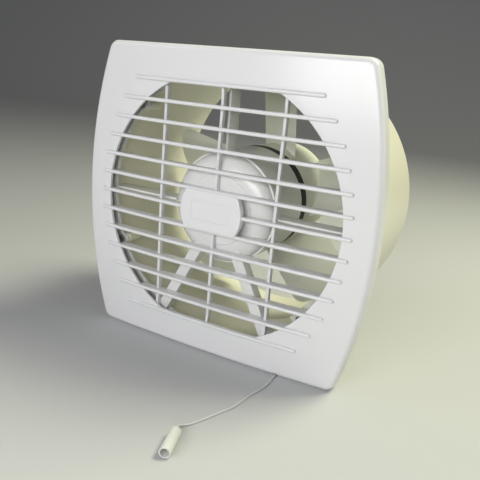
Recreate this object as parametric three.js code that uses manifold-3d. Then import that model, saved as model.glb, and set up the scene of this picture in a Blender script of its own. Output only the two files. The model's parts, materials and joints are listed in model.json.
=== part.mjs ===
// Window exhaust fan for a 200 mm duct, with a slatted front cover and a pull-cord switch.
//
// Millimetres, +Z up. The fan axis runs along +Y, and the front of the fan looks along -Y.
// The pieces are drawn in fan coordinates: x to the right, z up from the fan axis, and y the
// depth behind the plane of the front bars. The last lines stand the fan on its cover's lower
// edge, with the origin under the middle of its depth.

import * as THREE from 'three';
import { mergeVertices } from 'three/addons/utils/BufferGeometryUtils.js';
import Module from 'manifold-3d';

const wasm = await Module();
wasm.setup();

// ---------------------------------------------------------------- driving sizes

const seatGap = 0.3;             // clearance between a piece and its seat
const runningGap = 0.6;          // clearance between turning and standing pieces
const flatness = 0.01;           // how far a dropped corner may lie off the surface

const cover = {
  halfWidth: 109.5,              // at mid height, where the barrel sides are widest
  halfHeight: 103.2,
  sideRadius: 343,               // of the barrel sides
  cornerRadius: 7,
  depth: 16.75,                  // from the plane of the bars to the wall
  wall: 2.4,
  rimWall: 2.0,
  edgeFillet: 3.4,
  domeRadiusX: 1234,             // the face is a shallow dome
  domeRadiusZ: 1831,
};

const opening = { radius: 88.4, flatDrop: 8.8, edge: 0.5 };      // cut flat at the top and the bottom

const bars = {
  count: 13,
  pitch: 13.4,
  radius: 1.25,
  sides: 6,
  arcRadius: 134,                // the bar ends lie on two arcs
  arcOffset: 38.9,
};

const mullions = { spacing: 43.5, width: 2.0, front: 0.5, depth: 3.6 };

const badge = {
  radius: 23.2,
  halfHeight: 13.4,
  proud: 2.7,                    // in front of the plane of the bars
  thickness: 4.2,
  bevel: 0.9,
  fieldWidth: 29,
  fieldHeight: 12.6,
  fieldCorner: 2.2,
  fieldDepth: 0.6,
};

const pegs = { x: 80, z: 88, radius: 2.6, reach: 6.0, socketWall: 1.7, socketHeight: 5.5 };

const cordNotch = { width: 2.6, height: 2.3 };      // high enough to pass right through the rim

const duct = { outerRadius: 99, wall: 2.2, rearY: 123.1 };

const flange = { thickness: 2.6, edgeGap: 0.6, slotAngle: 36.4, slotOffset: 5.4, slotRadius: 2.4, slotLength: 9 };

const ring = { width: 7.9, frontY: 13.4, thickness: 4.0, edgeGap: 0.5 };

const ringScrews = { angles: [42, 138, 205, 335], inset: 3.9, shaft: 1.5, head: 2.9, headHeight: 1.8, length: 11 };

const ringBoss = { radius: 3.9, length: 12 };

const vanes = { angles: [0, 90, 180], thickness: 1.6, frontY: 13.4, depth: 12.5 };

const legs = {
  spread: 27.5,                  // degrees either side of straight down
  width: 7.8,
  frontY: 9.4,
  depth: 8.0,
  wall: 1.5,
  footInset: 6.3,                // of the foot's centre from the hoop's outer edge
  coverThickness: 1.2,
};

const cup = {
  radius: 38.5,
  rearY: 59,
  frontY: 8.0,
  faceRadius: 24.2,
  shoulderRadius: 37.2,
  shoulderY: 17.4,
  step: 0.8,                     // round the flat face, and the fine line behind the shoulder
  wall: 2.0,
};

const endCap = { radius: 38.5, rearY: 68.3, wall: 1.8, skirt: 4.5, shaftHole: 4.5 };

const shaft = { radius: 2.0, frontY: 21, past: 1.2 };             // how far it stands past the nut

const core = {
  halfWidth: 24,
  bottom: -15,
  top: 25,
  windowHalfWidth: 14,
  windowBottom: 13,
  windowTop: 19,
  boreRadius: 9.5,
  frontY: 28,
  thickness: 16,
};

const coil = { bobbinWall: 0.8, flangeThickness: 1.0, halfLength: 13, winding: 3.6 };

const rotor = { radius: 9.1, endRing: 1.6 };

const motorScrews = { x: 20, shaft: 1.5, head: 3.0, headHeight: 1.8, length: 32, postRadius: 3.4 };

const bearing = { halfLength: 24, halfWidth: 5, thickness: 3.8, housingRadius: 6.4, bushRadius: 4.2, bushLength: 6.5 };

const impeller = {
  hubRadius: 38.4,
  hubRearY: 116,
  hubWall: 1.8,
  shoulder: 3.5,
  bossRadius: 6,
  recessRadius: 8.5,             // the nut sits in a recess in the hub's nose
  recessDepth: 6.5,
  bladeCount: 5,
  bladeAngle: 90,                // where the first blade's middle points
  tipGap: 7.8,                   // from the blade tips to the duct
  frontRootY: 79.3,              // the front edge's depth at the root and at the tip
  frontTipY: 78.1,
  rearRootY: 106.7,
  rearTipY: 105.9,
  frontRootOffset: 21.1,         // how far the edges lie to the side of the blade's middle line
  frontTipOffset: 17.3,
  rearRootOffset: 17.1,
  rearTipOffset: 22.3,
  camber: 2.4,
  tipDrop: 4.5,                  // how far the tip's rounded corners are drawn in
  bladeThickness: 1.9,
  edgeThickness: 1.0,
};

const nut = { acrossFlats: 7, height: 3.4, washerRadius: 4.6, washerThickness: 0.8 };

const terminal = { angle: -42, pad: 2.6, width: 24, height: 9, frontY: 19.5, length: 13, poles: 3, ways: 1.5 };

const switchBox = { width: 19, height: 16, foot: 5, legGap: 0.34, wall: 1.0, lid: 0.8 };   // foot: above the cover's lower edge

const plunger = { width: 4.4, height: 4.0, stroke: 5.0 };

const spring = { radius: 1.6, wire: 0.22, turns: 6 };

const cam = { radius: 2.3, teeth: 8, tooth: 0.5, thickness: 2.6 };

const cord = { radius: 0.6, sides: 8, clear: 0.15 };              // clear of the table

const handle = { radius: 3.35, length: 20.5, wall: 0.95, round: 1.2, cordHole: 0.95 };

const leadRecess = { x: -11.8, width: 7.5, z: -37.4, height: 6.5, y: 13.5, length: 6.5, depth: 1.3 };

// where the free cord lies: x and y in fan coordinates, from under the cover's edge to the handle
const cordRoute = [
  [55.4, 3.6], [56.2, -4.5], [56.3, -12.9], [55.2, -20.0], [53.8, -26.4],
  [52.8, -36.0], [51.4, -46.0], [48.1, -55.1], [44.5, -65.3], [40.6, -74.5],
];
const handleStart = [39.5, -87.3];
const handleTurn = -18.5;        // degrees that the handle points away from straight ahead

// ---------------------------------------------------------------- sizes that follow

const radians = THREE.MathUtils.degToRad;
const barsHalfHeight = (bars.count - 1) / 2 * bars.pitch;
const flangeFrontY = cover.depth - flange.thickness;
const ductInnerRadius = duct.outerRadius - duct.wall;
const openingFlat = opening.radius - opening.flatDrop;
const ringOuterRadius = ductInnerRadius - ring.edgeGap;
const ringInnerRadius = ringOuterRadius - ring.width;
const ringScrewRadius = ringOuterRadius - ringScrews.inset;
const legFootRadius = ringOuterRadius - legs.footInset;
const tipRadius = ductInnerRadius - impeller.tipGap;
const tableZ = -cover.halfHeight;
const ringRearY = ring.frontY + ring.thickness;
const cupInnerRadius = cup.radius - cup.wall;
const coreRearY = core.frontY + core.thickness;
const hubFrontY = endCap.rearY + runningGap;
const recessY = impeller.hubRearY - impeller.recessDepth;
const nutSeatY = recessY + seatGap;
const nutY = nutSeatY + nut.washerThickness + seatGap;
const shaftRearY = nutY + nut.height + shaft.past;
const switchRearY = ring.frontY - seatGap;
const switchBottom = tableZ + switchBox.foot;
const switchTop = switchBottom + switchBox.height;
const terminalRearX = ductInnerRadius - terminal.pad - seatGap;
const terminalX = terminalRearX - terminal.height / 2;

/** Depth of the cover's face: a shallow dome. */
const dome = (x, z) => x * x / (2 * cover.domeRadiusX) + z * z / (2 * cover.domeRadiusZ);

// the switch stands beside the right leg's foot, and the cord hangs from its middle
const switchX0 = legFootRadius * Math.sin(radians(legs.spread)) + legs.width / 2 + switchBox.legGap;
const switchX1 = switchX0 + switchBox.width;
const switchFrontY = dome(switchX1, switchBottom) + cover.wall + seatGap;
const cordX = (switchX0 + switchX1) / 2;
const cordDepth = (switchFrontY + switchRearY) / 2;

// ---------------------------------------------------------------- shape helpers

/** Merge a geometry's shared vertices, so that only positions are left. */
function weld(geometry) {
  const bare = new THREE.BufferGeometry();
  bare.setAttribute('position', geometry.getAttribute('position').clone());
  if (geometry.index) bare.setIndex(geometry.index.clone());
  return mergeVertices(bare, 1e-4);
}

function toSolid(geometry) {
  const welded = weld(geometry);
  return new wasm.Manifold(new wasm.Mesh({
    numProp: 3,
    vertProperties: new Float32Array(welded.getAttribute('position').array),
    triVerts: new Uint32Array(welded.index.array),
  }));
}

function toGeometry(solid) {
  const mesh = solid.simplify(flatness).getMesh();
  const geometry = new THREE.BufferGeometry();
  geometry.setAttribute('position', new THREE.Float32BufferAttribute(mesh.vertProperties, 3));
  geometry.setIndex(new THREE.Uint32BufferAttribute(mesh.triVerts, 1));
  return geometry;
}

const join = (...parts) => toGeometry(parts.map(toSolid).reduce((all, part) => all.add(part)));
const cut = (body, ...tools) => toGeometry(tools.map(toSolid).reduce((left, tool) => left.subtract(tool), toSolid(body)));
const keep = (body, region) => toGeometry(toSolid(body).intersect(toSolid(region)));

/** Turn a profile of [radius, y] points, on the axis at its ends or closed, about the fan axis. */
function turn(profile, segments = 48) {
  const points = profile.map(([radius, y]) => new THREE.Vector2(radius, y));
  return outward(weld(new THREE.LatheGeometry(points, segments)));
}

/** A closed hollow of revolution between two radii and two depths. */
function sleeve(inner, outer, y0, y1, segments = 48) {
  return turn([[inner, y0], [inner, y1], [outer, y1], [outer, y0], [inner, y0]], segments);
}

/** A solid cylinder along y between two depths. */
function rod(radius, y0, y1, segments = 24) {
  const geometry = new THREE.CylinderGeometry(radius, radius, y1 - y0, segments);
  return geometry.translate(0, (y0 + y1) / 2, 0);
}

/** Extrude a shape drawn in x and z from depth y0 to depth y1. */
function prism(shape, y0, y1, options = {}) {
  const { bevel = 0, curveSegments = 12 } = options;
  const geometry = new THREE.ExtrudeGeometry(shape, {
    depth: y1 - y0 - 2 * bevel,
    bevelEnabled: bevel > 0,
    bevelThickness: bevel,
    bevelSize: bevel,
    bevelOffset: -bevel,
    bevelSegments: 1,
    curveSegments,
    steps: 1,
  });
  return geometry.rotateX(Math.PI / 2).translate(0, y1 - bevel, 0);
}

function box(x0, x1, y0, y1, z0, z1) {
  const geometry = new THREE.BoxGeometry(x1 - x0, y1 - y0, z1 - z0);
  return geometry.translate((x0 + x1) / 2, (y0 + y1) / 2, (z0 + z1) / 2);
}

function roundedRectangle(width, height, radius) {
  const shape = new THREE.Shape();
  const [w, h] = [width / 2, height / 2];
  shape.moveTo(-w + radius, -h).lineTo(w - radius, -h).absarc(w - radius, -h + radius, radius, -Math.PI / 2, 0);
  shape.lineTo(w, h - radius).absarc(w - radius, h - radius, radius, 0, Math.PI / 2);
  shape.lineTo(-w + radius, h).absarc(-w + radius, h - radius, radius, Math.PI / 2, Math.PI);
  shape.lineTo(-w, -h + radius).absarc(-w + radius, -h + radius, radius, Math.PI, 1.5 * Math.PI);
  return shape;
}

/**
 * Skin a row of rings of [x, y, z] points. The row is closed on itself or capped at its ends, where
 * rungs run across the ring, so that a thin bowed ring is capped inside its own outline.
 */
function skin(rings, closed = false) {
  const sides = rings[0].length;
  const faces = [];
  const last = closed ? rings.length : rings.length - 1;
  for (let i = 0; i < last; i += 1) {
    const a = i * sides;
    const b = (i + 1) % rings.length * sides;
    for (let k = 0; k < sides; k += 1) {
      const n = (k + 1) % sides;
      faces.push(a + k, b + k, b + n, a + k, b + n, a + n);
    }
  }
  if (!closed) {
    const end = (rings.length - 1) * sides;
    const cap = (a, b, c) => faces.push(a, b, c, end + a, end + c, end + b);
    for (let k = 0; k + 1 < sides - 1 - k; k += 1) {
      cap(k, k + 1, sides - 1 - k);
      if (k + 1 < sides - 2 - k) cap(k + 1, sides - 2 - k, sides - 1 - k);
    }
  }
  const geometry = new THREE.BufferGeometry();
  geometry.setAttribute('position', new THREE.Float32BufferAttribute(rings.flat(2), 3));
  geometry.setIndex(faces);
  return outward(geometry);
}

/** Turn a closed mesh's faces outwards if its signed volume is negative. */
function outward(geometry) {
  const at = geometry.getAttribute('position');
  const index = geometry.index.array;
  const corner = (i) => new THREE.Vector3().fromBufferAttribute(at, index[i]);
  let volume = 0;
  for (let i = 0; i < index.length; i += 3) {
    volume += corner(i).dot(corner(i + 1).cross(corner(i + 2)));
  }
  if (volume < 0) index.reverse();
  return geometry;
}

/** A round tube along hand-picked points. */
function tube(points, radius, sides, step) {
  const path = new THREE.CatmullRomCurve3(points.map((p) => new THREE.Vector3(...p)), false, 'centripetal');
  const section = new THREE.Shape(new THREE.EllipseCurve(0, 0, radius, radius).getPoints(sides).slice(1));
  const steps = Math.ceil(path.getLength() / step);
  return new THREE.ExtrudeGeometry(section, { steps, extrudePath: path, bevelEnabled: false });
}

const move = (geometry, x, y, z) => geometry.clone().translate(x, y, z);
const spin = (geometry, degrees) => geometry.clone().rotateY(-radians(degrees));

// ---------------------------------------------------------------- front cover

/** Stations round the cover's outline: a point, its outward normal and the opening behind it. */
function coverStations() {
  const sideCentre = cover.halfWidth - cover.sideRadius;
  const cornerZ = cover.halfHeight - cover.cornerRadius;
  const reach = cover.sideRadius - cover.cornerRadius;
  const cornerX = sideCentre + Math.sqrt(reach ** 2 - cornerZ ** 2);
  const sideEnd = Math.asin(cornerZ / reach);
  const flatX = cover.halfHeight / Math.tan(Math.asin(openingFlat / opening.radius));
  const [sideSteps, cornerSteps, edgeSteps] = [7, 4, 3];
  const quadrant = [];
  for (let i = 0; i < sideSteps; i += 1) {
    const a = sideEnd * i / sideSteps;
    quadrant.push([sideCentre + cover.sideRadius * Math.cos(a), cover.sideRadius * Math.sin(a), a]);
  }
  for (let i = 0; i < cornerSteps; i += 1) {
    const a = sideEnd + (Math.PI / 2 - sideEnd) * i / cornerSteps;
    quadrant.push([cornerX + cover.cornerRadius * Math.cos(a), cornerZ + cover.cornerRadius * Math.sin(a), a]);
  }
  for (const [from, to] of [[cornerX, flatX], [flatX, 0]]) {
    for (let i = 0; i < edgeSteps; i += 1) {
      quadrant.push([from + (to - from) * i / edgeSteps, cover.halfHeight, Math.PI / 2]);
    }
  }
  const half = [...quadrant, [0, cover.halfHeight, Math.PI / 2],
    ...quadrant.slice(1).reverse().map(([x, z, a]) => [-x, z, Math.PI - a])];
  const all = [...half, ...half.map(([x, z, a]) => [-x, -z, a + Math.PI])];
  return all.map(([x, z, a]) => ({ x, z, nx: Math.cos(a), nz: Math.sin(a) }));
}

const stations = coverStations();

/** The cover's outline drawn in by an inset, as a shape in x and z. */
function outlineShape(inset) {
  return new THREE.Shape(stations.map((s) => new THREE.Vector2(s.x - s.nx * inset, s.z - s.nz * inset)));
}

/** The domed plate with its rounded edge and rim: one closed section carried round the outline. */
function coverPlate() {
  const rings = stations.map((s) => {
    const polar = Math.atan2(s.z, s.x);
    const radius = Math.min(opening.radius, openingFlat / Math.abs(Math.sin(polar)));
    const along = (d) => [(radius + d) * Math.cos(polar), (radius + d) * Math.sin(polar)];
    const inset = (d) => [s.x - s.nx * d, s.z - s.nz * d];
    const on = ([x, z], below = 0) => [x, dome(x, z) + below, z];
    const mix = ([ax, az], [bx, bz], t) => [ax + (bx - ax) * t, az + (bz - az) * t];
    const filletStart = inset(cover.edgeFillet);
    const section = [on(along(0), cover.wall), on(along(0), opening.edge), on(along(opening.edge))];
    section.push(on(mix(along(0), filletStart, 0.5)));
    for (const degrees of [0, 45, 90]) {
      const a = radians(degrees);
      section.push(on(inset(cover.edgeFillet * (1 - Math.sin(a))), cover.edgeFillet * (1 - Math.cos(a))));
    }
    const [ox, oz] = inset(0);
    const [ix, iz] = inset(cover.rimWall);
    section.push([ox, cover.depth, oz], [ix, cover.depth, iz]);
    section.push(on(inset(cover.rimWall), cover.edgeFillet), on(filletStart, cover.wall));
    return section;
  });
  return skin(rings, true);
}

/** A round bar across the opening with rounded ends, following the dome. */
function crossBar(row) {
  const z = ((bars.count - 1) / 2 - row) * bars.pitch;
  const half = Math.sqrt(bars.arcRadius ** 2 - z ** 2) - bars.arcOffset;
  const tip = bars.radius;
  const runs = 4;
  const places = [[-half, 0.5]];
  for (let i = 0; i <= runs; i += 1) places.push([(half - tip) * (2 * i / runs - 1), 1]);
  places.push([half, 0.5]);
  return skin(places.map(([x, scale]) => Array.from({ length: bars.sides }, (_, k) => {
    const a = 2 * Math.PI * (k + 0.5) / bars.sides;
    return [x, dome(x, z) + scale * tip * Math.cos(a), z + scale * tip * Math.sin(a)];
  })));
}

/** An upright strip behind the bars, following the dome. */
function mullion(x) {
  const runs = 4;
  const places = Array.from({ length: runs + 1 }, (_, i) => barsHalfHeight * (2 * i / runs - 1));
  const [w, y0, y1] = [mullions.width / 2, mullions.front, mullions.front + mullions.depth];
  return skin(places.map((z) => [[x - w, y0], [x + w, y0], [x + w, y1], [x - w, y1]]
    .map(([px, py]) => [px, py + dome(px, z), z])));
}

/** The name plate: a disc with its top and bottom cut flat, and a bare sunk field. */
function badgePlate() {
  const cutAngle = Math.asin(badge.halfHeight / badge.radius);
  const shape = new THREE.Shape();
  shape.absarc(0, 0, badge.radius, -cutAngle, cutAngle);
  shape.absarc(0, 0, badge.radius, Math.PI - cutAngle, Math.PI + cutAngle);
  const plate = prism(shape, -badge.proud, badge.thickness - badge.proud, { bevel: badge.bevel, curveSegments: 8 });
  const field = roundedRectangle(badge.fieldWidth, badge.fieldHeight, badge.fieldCorner);
  return cut(plate, prism(field, -badge.proud - 1, badge.fieldDepth - badge.proud, { curveSegments: 4 }));
}

/** The plain pegs that push into the housing's sockets. */
function coverPegs() {
  return fourCorners(pegs.x, pegs.z).map(([x, z]) => {
    const root = dome(x, z) + cover.wall - 0.5;
    return move(rod(pegs.radius, root, root + pegs.reach, 10), x, 0, z);
  });
}

const fourCorners = (x, z) => [[x, z], [-x, z], [-x, -z], [x, -z]];

function frontCover() {
  const rows = Array.from({ length: bars.count }, (_, row) => crossBar(row));
  const strips = [-1, 0, 1].map((side) => mullion(side * mullions.spacing));
  const w = cordNotch.width / 2;
  const notch = box(cordX - w, cordX + w, -1, cordDepth + w, tableZ - 1, tableZ + cordNotch.height);
  return cut(join(coverPlate(), ...strips, ...rows, badgePlate(), ...coverPegs()), notch);
}

// ---------------------------------------------------------------- duct housing

function ductHousing() {
  const plate = prism(outlineShape(cover.rimWall + flange.edgeGap), flangeFrontY, cover.depth);
  const tubeWall = turn([
    [ductInnerRadius, flangeFrontY], [ductInnerRadius, duct.rearY],
    [duct.outerRadius, duct.rearY], [duct.outerRadius, flangeFrontY + 0.5],
    [duct.outerRadius - duct.wall / 2, flangeFrontY + 0.5], [ductInnerRadius, flangeFrontY],
  ], 56);
  const bosses = ringScrews.angles.map((angle) => {
    const length = ductInnerRadius - ringScrewRadius + duct.wall / 2;
    const post = join(
      rod(ringBoss.radius, ringRearY + seatGap, ringRearY + seatGap + ringBoss.length, 12),
      box(0, length, ringRearY + seatGap, ringRearY + seatGap + ringBoss.length, -ringBoss.radius, ringBoss.radius),
    );
    return spin(move(post, ringScrewRadius, 0, 0), angle);
  });
  const trim = rod(duct.outerRadius - duct.wall / 2, 0, duct.rearY + 1, 56);
  const pilots = ringScrews.angles.map((angle) => spin(
    move(rod(ringScrews.shaft + seatGap, ringRearY, ringRearY + seatGap + ringBoss.length - 2, 8), ringScrewRadius, 0, 0), angle));
  const sockets = fourCorners(pegs.x, pegs.z).map(([x, z]) => {
    const bore = pegs.radius + seatGap;
    return move(sleeve(bore, bore + pegs.socketWall, flangeFrontY - pegs.socketHeight + 1.5, flangeFrontY + 0.5, 12), x, 0, z);
  });
  const slot = roundedRectangle(2 * flange.slotRadius, flange.slotLength, flange.slotRadius - 0.01);
  const slotPlace = duct.outerRadius + flange.slotOffset;
  const slotAngle = radians(flange.slotAngle);
  const slots = fourCorners(slotPlace * Math.cos(slotAngle), slotPlace * Math.sin(slotAngle)).map(([x, z]) =>
    move(prism(slot, flangeFrontY - 1, cover.depth + 1, { curveSegments: 4 }), x, 0, z));
  const mouth = rod(ductInnerRadius, flangeFrontY - 1, cover.depth + 1, 56);
  const shell = join(cut(plate, mouth), tubeWall, ...sockets);
  const pad = box(terminalRearX + seatGap, ductInnerRadius + 1, terminal.frontY, terminal.frontY + terminal.length,
    -terminal.width / 2, terminal.width / 2);
  const seats = [...bosses, spin(pad, terminal.angle)].map((seat) => keep(seat, trim));
  return cut(join(shell, ...seats), ...slots, ...pilots);
}

// ---------------------------------------------------------------- motor bracket

/** A channel-section leg, drawn pointing along +x and open at its back. */
function legChannel() {
  const [w, y0, y1] = [legs.width / 2, legs.frontY, legs.frontY + legs.depth];
  const start = cup.shoulderRadius - 8;
  const outline = new THREE.Shape();
  outline.moveTo(start, -w).lineTo(legFootRadius, -w);
  outline.absarc(legFootRadius, 0, w, -Math.PI / 2, Math.PI / 2);
  outline.lineTo(start, w);
  const inside = legs.width / 2 - legs.wall;
  const groove = box(cup.radius - 2 * cup.wall, legFootRadius - 3, y0 + legs.wall, y1 + 1, -inside, inside);
  return cut(prism(outline, y0, y1, { curveSegments: 6 }), groove);
}

/** A quarter ellipse of the cup's shoulder, as [radius, y] points at the given degrees. */
function shoulder(reach, rise, rearY, degrees) {
  return degrees.map((d) => [cup.faceRadius + reach * Math.sin(radians(d)), rearY - rise * Math.cos(radians(d))]);
}

function cupShell() {
  const { wall, step } = cup;
  const reach = cup.shoulderRadius - cup.faceRadius;
  const rise = cup.shoulderY - cup.frontY - step;
  const outer = [
    [0, cup.frontY], [cup.faceRadius - step, cup.frontY],
    ...shoulder(reach, rise, cup.shoulderY, [0, 22.5, 45, 67.5, 90]),
    [cup.radius, cup.shoulderY + step / 2], [cup.radius, cup.rearY],
  ];
  const inner = [
    [cupInnerRadius, cup.rearY], [cupInnerRadius, cup.shoulderY + wall],
    ...shoulder(reach - wall, rise, cup.shoulderY + wall, [60, 30]), [0, cup.frontY + wall],
  ];
  return turn([...outer, ...inner], 40);
}

function motorBracket() {
  const hoop = sleeve(ringInnerRadius, ringOuterRadius, ring.frontY, ringRearY, 60);
  const shell = cupShell();
  const hollow = rod(cupInnerRadius - 0.4, cup.shoulderY, cup.rearY + 1, 40);
  const vane = box(cup.radius - cup.wall, ringInnerRadius + 1.5, vanes.frontY, vanes.frontY + vanes.depth,
    -vanes.thickness / 2, vanes.thickness / 2);
  const leg = legChannel();
  const arms = [
    ...vanes.angles.map((angle) => spin(vane, angle)),
    ...[-1, 1].map((side) => spin(leg, -90 + side * legs.spread)),
  ];
  const posts = [-1, 1].map((side) => move(
    rod(motorScrews.postRadius, cup.frontY + 1, core.frontY - bearing.thickness - seatGap, 20), side * motorScrews.x, 0, 0));
  const holes = [
    ...ringScrews.angles.map((angle) => spin(
      move(rod(ringScrews.shaft + seatGap, 0, ringRearY + 5, 8), ringScrewRadius, 0, 0), angle)),
    ...[-1, 1].map((side) => move(
      rod(motorScrews.shaft + seatGap, cup.frontY + cup.wall + 1, cup.rearY, 12), side * motorScrews.x, 0, 0)),
  ];
  const recess = leadRecess;
  const pocket = box(recess.x - recess.width / 2, recess.x + recess.width / 2, recess.y, recess.y + recess.length,
    recess.z - recess.height / 2, recess.z + recess.height / 2);
  const pocketFloor = rod(cup.radius - recess.depth, cup.frontY, cup.rearY, 40);
  const feet = rod(ringOuterRadius, 0, cup.rearY, 60);
  const frame = join(hoop, shell, ...arms.map((arm) => cut(arm, hollow)));
  return cut(join(keep(frame, feet), ...posts), ...holes, cut(pocket, pocketFloor));
}

/** The strip that closes the back of a leg's channel. */
function legCover() {
  const inside = legs.width / 2 - legs.wall - seatGap;
  const rear = legs.frontY + legs.depth;
  return box(cup.radius + 1, legFootRadius - 3 - seatGap, rear - legs.coverThickness, rear, -inside, inside);
}

/** A pan-headed screw along y: its head's underside at headY, its shaft towards the rear or the front. */
function screw({ shaft: radius, head, headHeight, length }, headY, rearward = true) {
  const body = join(rod(head, -headHeight, 0, 14), rod(radius, -headHeight / 2, length, 8));
  return (rearward ? body : body.rotateX(Math.PI)).translate(0, headY, 0);
}

// ---------------------------------------------------------------- motor

function motorEndCap() {
  const { wall, skirt } = endCap;
  const lip = cupInnerRadius - seatGap;
  const front = cup.rearY + seatGap;
  return turn([
    [lip, front - skirt], [lip, front], [endCap.radius, front],
    [endCap.radius, endCap.rearY - 1], [endCap.radius - 1, endCap.rearY],
    [endCap.shaftHole, endCap.rearY], [endCap.shaftHole, endCap.rearY - wall],
    [lip - wall, endCap.rearY - wall], [lip - wall, front - skirt], [lip, front - skirt],
  ], 36);
}

function statorCore() {
  const { halfWidth, bottom, top } = core;
  const shape = new THREE.Shape();
  shape.moveTo(-halfWidth + 4, bottom).lineTo(halfWidth - 4, bottom).lineTo(halfWidth, bottom + 4);
  shape.lineTo(halfWidth, top).lineTo(-halfWidth, top).lineTo(-halfWidth, bottom + 4);
  const w = core.windowHalfWidth;
  const window = new THREE.Path();
  window.moveTo(-w, core.windowBottom).lineTo(w, core.windowBottom).lineTo(w, core.windowTop).lineTo(-w, core.windowTop);
  const bore = new THREE.Path().absarc(0, 0, core.boreRadius, 0, 2 * Math.PI);
  shape.holes.push(window, bore);
  const stack = prism(shape, core.frontY, coreRearY, { curveSegments: 24 });
  const holes = [-1, 1].map((side) => move(
    rod(motorScrews.shaft + seatGap, core.frontY - 1, coreRearY + 1, 12), side * motorScrews.x, 0, 0));
  const notches = [45, 225].map((angle) => spin(
    box(core.boreRadius - 1, core.boreRadius + 2, core.frontY - 1, coreRearY + 1, -0.7, 0.7), angle));
  return cut(stack, ...holes, ...notches);
}

/** Rings of a box-shaped tube round the core's upper bar, from x0 to x1. */
function coilSleeve(x0, x1, inner, outer) {
  const z0 = core.windowTop;
  const z1 = core.top;
  const around = (d) => box(x0, x1, core.frontY - d, coreRearY + d, z0 - d, z1 + d);
  const hole = box(x0 - 1, x1 + 1, core.frontY - inner, coreRearY + inner, z0 - inner, z1 + inner);
  return cut(around(outer), hole);
}

function coilBobbin() {
  const inner = seatGap;
  const tubeOuter = inner + coil.bobbinWall;
  const cheek = tubeOuter + coil.winding + 0.5;
  const half = coil.halfLength;
  return join(
    coilSleeve(-half, half, inner, tubeOuter),
    coilSleeve(-half, -half + coil.flangeThickness, inner, cheek),
    coilSleeve(half - coil.flangeThickness, half, inner, cheek),
  );
}

function motorCoil() {
  const inner = 2 * seatGap + coil.bobbinWall;
  const half = coil.halfLength - coil.flangeThickness - seatGap;
  return coilSleeve(-half, half, inner, inner + coil.winding);
}

/** A cast bar across the stack that holds a bush on the fan axis. */
function bearingBar(y0, y1, housingY0, housingY1) {
  const bar = prism(roundedRectangle(2 * bearing.halfLength, 2 * bearing.halfWidth, 4), y0, y1, { curveSegments: 3 });
  const housing = rod(bearing.housingRadius, housingY0, housingY1, 18);
  const bore = rod(bearing.bushRadius + seatGap, housingY0 - 1, housingY1 + 1, 16);
  const holes = [-1, 1].map((side) => move(
    rod(motorScrews.shaft + seatGap, y0 - 1, y1 + 1, 12), side * motorScrews.x, 0, 0));
  return cut(join(bar, housing), bore, ...holes);
}

const frontBarY = core.frontY - seatGap;
const rearBarY = coreRearY + seatGap;
const frontBearingBar = () => bearingBar(
  frontBarY - bearing.thickness, frontBarY, frontBarY - bearing.bushLength, frontBarY);
const rearBearingBar = () => bearingBar(
  rearBarY, rearBarY + bearing.thickness, rearBarY, rearBarY + bearing.bushLength);
const bush = (y0) => sleeve(shaft.radius + seatGap, bearing.bushRadius, y0, y0 + bearing.bushLength - 0.5, 16);

function rotorBody() {
  const [y0, y1] = [core.frontY + 1, coreRearY - 1];
  const { radius, endRing } = rotor;
  return turn([
    [shaft.radius + seatGap, y0], [shaft.radius + seatGap, y1], [radius - 1.2, y1],
    [radius - 1.2, y1 - endRing], [radius, y1 - endRing], [radius, y0 + endRing],
    [radius - 1.2, y0 + endRing], [radius - 1.2, y0], [shaft.radius + seatGap, y0],
  ], 24);
}

const motorShaft = () => turn([
  [0, shaft.frontY], [shaft.radius - 0.4, shaft.frontY], [shaft.radius, shaft.frontY + 0.4],
  [shaft.radius, shaftRearY - 0.4], [shaft.radius - 0.4, shaftRearY], [0, shaftRearY],
], 16);

const motorScrew = () => screw(motorScrews, rearBarY + bearing.thickness + seatGap, false);

// ---------------------------------------------------------------- impeller

/**
 * One blade, its middle line along +x: two skins over a grid of radius and chord, closed at the
 * edges. Both edges run nearly straight from root to tip, so the chord stays the same, and the
 * blade leans back by the depth between them. It bows towards the air that it draws in.
 */
function impellerBlade() {
  const [spans, chords] = [4, 6];
  const root = impeller.hubRadius - 1;
  const mix = (a, b, t) => a + (b - a) * t;
  const rings = [];
  for (let i = 0; i <= spans; i += 1) {
    const t = i / spans;
    const left = -mix(impeller.frontRootOffset, impeller.frontTipOffset, t);
    const right = mix(impeller.rearRootOffset, impeller.rearTipOffset, t);
    const frontY = mix(impeller.frontRootY, impeller.frontTipY, t);
    const rearY = mix(impeller.rearRootY, impeller.rearTipY, t);
    const side = (sign) => Array.from({ length: chords + 1 }, (_, k) => {
      const s = k / chords;
      const bow = 1 - (2 * s - 1) ** 2;
      const half = mix(impeller.edgeThickness, impeller.bladeThickness, bow) / 2;
      const offset = mix(left, right, s);
      const tip = tipRadius - impeller.tipDrop * (2 * s - 1) ** 6;
      const radius = mix(root, tip, t);
      return [Math.sqrt(radius ** 2 - offset ** 2), mix(frontY, rearY, s) - impeller.camber * bow + sign * half, offset];
    });
    rings.push([...side(1), ...side(-1).reverse()]);
  }
  return skin(rings);
}

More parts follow.
